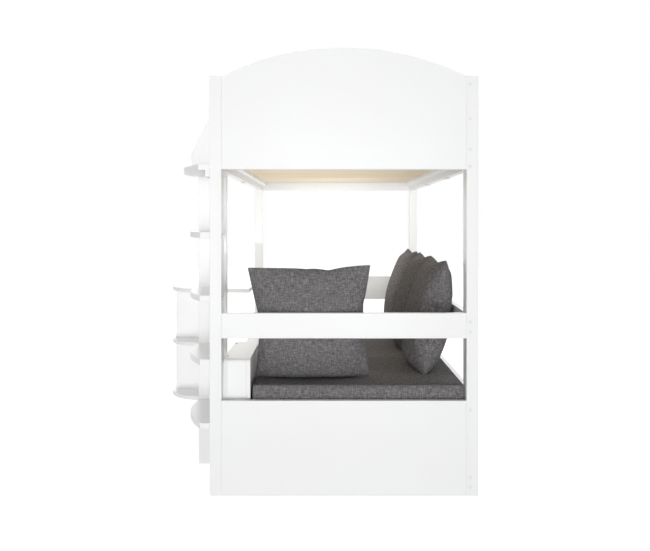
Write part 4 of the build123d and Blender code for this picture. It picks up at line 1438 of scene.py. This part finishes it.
@dataclass
class SofaSet:
    """The seat mattress and the loose cushions that lie on it."""

    mattress: Mattress = field(default_factory=Mattress)
    clearance: float = 0.5 * MM

    def cushions(self) -> list[Cushion]:
        """List the loose cushions: one at the near end and three along the wall side.

        Returns:
            The cushions, unbuilt.
        """
        end = Cushion(
            "end_cushion", "end_cushion_body", Lean.NEAR_END, tilt=17.5, seed=3, roll=1.2,
            shift=(-1.5, 0.0, 0.0), height=476.0 * MM, side_bow=-0.01, foot_taper=0.03, corner_trim=0.0,
            ease=4,
        )
        backs = [
            Cushion(
                f"back_cushion_{number}", f"back_cushion_{number}_body", Lean.WALL_SIDE, tilt=tilt,
                seed=seed, shift=(10.0, 0.0, -8.0), height=488.0 * MM, thickness=188.0 * MM,
                top_bow=-0.03, foot_bow=0.05, crown=0.3, sag=0.15, fullness=0.82,
            )
            for number, tilt, seed in ((1, 10.6, 11), (2, 12.0, 23), (3, 11.5, 37))
        ]
        return [end, *backs]

    def rests(self, lean: Lean) -> list[Rest]:
        """List the faces that a cushion meets: the mattress below, its rail, and the box beside it.

        Args:
            lean: Which way the cushion leans.

        Returns:
            The faces, as limits.
        """
        mattress_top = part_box(self.mattress.node)[1].z + self.mattress.loft
        faces = [Rest(axis=2, limit=mattress_top + self.clearance, side=1)]
        if lean is Lean.NEAR_END:
            rail_low, rail_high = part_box("near_mid_rail")
            box_side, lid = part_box("box_right_side")[1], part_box("box_lid")[1]
            rail_span = (rail_low.z, rail_high.z)
            faces.append(Rest(axis=1, limit=rail_high.y + self.clearance, side=1, span=rail_span))
            faces.append(Rest(axis=0, limit=box_side.x + self.clearance, side=1, span=(0.0, lid.z)))
        else:
            rail_low, rail_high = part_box("rear_mid_rail")
            rail_span = (rail_low.z, rail_high.z)
            faces.append(Rest(axis=0, limit=rail_low.x - self.clearance, side=-1, span=rail_span))
        return faces

    def build(self, workshop: Workshop) -> None:
        """Make the mattress and lay the cushions on it.

        Args:
            workshop: The made materials.
        """
        workshop.dress([self.mattress.node], Finish.MATTRESS_CLOTH)
        self.mattress.build(workshop)
        for cushion in self.cushions():
            workshop.dress([cushion.node], Finish.CUSHION_CLOTH)
            cushion.build(workshop, self.rests(cushion.lean))


# --- studio -----------------------------------------------------------------------------------------
@dataclass(frozen=True)
class Lamp:
    """A lamp at a place, turned to an aim and out of the camera's sight."""

    name: str
    place: Spot

    def hang(self, data: bpy.types.Light, aim: Spot) -> None:
        """Set the lamp at its place and turn it to its aim.

        Args:
            data: Its light.
            aim: The point that it faces.
        """
        lamp = linked(self.name, data)
        lamp.location = self.place
        lamp.rotation_euler = (Vector(aim) - Vector(self.place)).to_track_quat("-Z", "Y").to_euler()
        lamp.visible_camera = False


@dataclass(frozen=True)
class Softbox(Lamp):
    """A rectangular area lamp, aimed at a point."""

    aim: Spot
    size: tuple[float, float]
    power: float
    spread: float = 180.0

    def build(self) -> None:
        """Put the lamp in the scene."""
        data = bpy.data.lights.new(self.name, "AREA")
        data.shape = "RECTANGLE"
        data.size, data.size_y = self.size
        data.energy = self.power
        data.spread = math.radians(self.spread)
        self.hang(data, self.aim)


@dataclass(frozen=True)
class FarLight(Lamp):
    """Soft light from far away, which falls off with neither depth nor height."""

    strength: float
    spread: float

    def build(self) -> None:
        """Put the light in the scene."""
        data = bpy.data.lights.new(self.name, "SUN")
        data.energy = self.strength
        data.angle = math.radians(self.spread)
        self.hang(data, (0.0, 0.0, 0.0))


@dataclass
class Studio:
    """A plain white floor and sky, soft lamps and the camera."""

    camera_place: Spot = (0.1633, -4.044, 1.0204)
    lens: float = 44.8
    sensor_width: float = 36.0
    shift: tuple[float, float] = (0.0015, -0.0828)
    white: str = "#FFFFFF"
    floor_colour: str = "#BCBCBC"
    floor_half: float = 14.0
    floor_drop: float = 0.4 * MM
    sky_strength: float = 0.08
    floor_glow: float = 0.84
    lamps: tuple[Softbox | FarLight, ...] = (
        FarLight("front_high_light", (0.0, -10.0, 1.05), 0.37, 18.0),
        FarLight("front_low_light", (0.0, -10.0, -0.6), 0.74, 18.0),
        FarLight("front_under_light", (0.0, -10.0, -2.7), 0.35, 20.0),
        FarLight("front_left_light", (-3.7, -9.3, 0.2), 0.48, 22.0),
        FarLight("left_light", (-7.0, -7.0, 0.2), 0.14, 45.0),
        FarLight("right_light", (7.0, -7.0, 0.2), 0.48, 45.0),
        FarLight("upper_left_light", (-5.6, 0.0, 9.0), 0.85, 30.0),
        FarLight("upper_right_light", (7.0, 0.0, 8.0), 0.75, 30.0),
        FarLight("back_light", (0.0, 10.0, 2.0), 0.28, 40.0),
        FarLight("upper_back_light", (0.0, 8.0, 6.0), 0.75, 40.0),
        Softbox("bunk_softbox", (0.12, 0.1, 0.89), (0.12, 0.1, 1.3), (0.86, 1.8), 3.5, 165.0),
        Softbox("far_softbox", (0.18, 0.35, 0.95), (0.3, 1.1, 0.72), (0.45, 0.3), 1.3),
    )

    def camera(self) -> None:
        """Set the camera level, looking straight along the bed, with the view shifted down."""
        data = bpy.data.cameras.new("camera")
        data.lens = self.lens
        data.sensor_width = self.sensor_width
        data.shift_x, data.shift_y = self.shift
        camera = linked("camera", data)
        camera.location = self.camera_place
        camera.rotation_euler = (math.pi / 2, 0.0, 0.0)
        bpy.context.scene.camera = camera

    def floor(self) -> None:
        """Lay a light-table floor: white to the camera and to gloss, with the object's shadow kept."""
        material, tree = new_material("studio_floor")
        glow = {"Color": linear(self.white), "Strength": seen_level(tree, 0.0, self.floor_glow)}
        lit = add_node(tree, "ShaderNodeEmission", glow)
        matt = add_node(tree, "ShaderNodeBsdfDiffuse", {"Color": linear(self.floor_colour)})
        both = add_node(tree, "ShaderNodeAddShader", {0: matt.outputs[0], 1: lit.outputs[0]})
        close_material(tree, both)
        shape = bmesh.new()
        bmesh.ops.create_grid(shape, x_segments=2, y_segments=2, size=self.floor_half)
        bmesh.ops.translate(shape, vec=(0.0, 0.0, -self.floor_drop), verts=shape.verts)
        floor = object_from("floor", mesh_of(shape, "floor"), material)
        floor.visible_shadow = False

    def light(self) -> None:
        """Light the object with the sky and the lamps, and show the sky white."""
        world = bpy.data.worlds.new("studio")
        world.use_nodes = True
        tree = world.node_tree
        tree.nodes.clear()
        glow = {"Color": linear(self.white), "Strength": seen_level(tree, self.sky_strength, 1.0)}
        sky = add_node(tree, "ShaderNodeBackground", glow)
        add_node(tree, "ShaderNodeOutputWorld", {"Surface": sky.outputs[0]})
        bpy.context.scene.world = world
        for lamp in self.lamps:
            lamp.build()

    def build(self) -> None:
        """Set up the camera, floor and light, and Blender's plain view of colours."""
        bpy.context.scene.view_settings.view_transform = "Standard"
        self.camera()
        self.floor()
        self.light()


def main() -> None:
    """Build the object on its frame, then the studio round it."""
    logging.basicConfig(level=logging.INFO, format="%(name)s: %(message)s")
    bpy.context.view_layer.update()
    Studio().build()
    workshop = Workshop()
    for part in (BedFrame(), SideBox(), Ladder(), ShelfUnit(), Fasteners(), SofaSet()):
        part.build(workshop)
    bare = [name for name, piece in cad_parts.items() if not piece.data.materials]
    log.info("nodes left bare: %s", bare or "none")


if __name__ == "__main__":
    main()
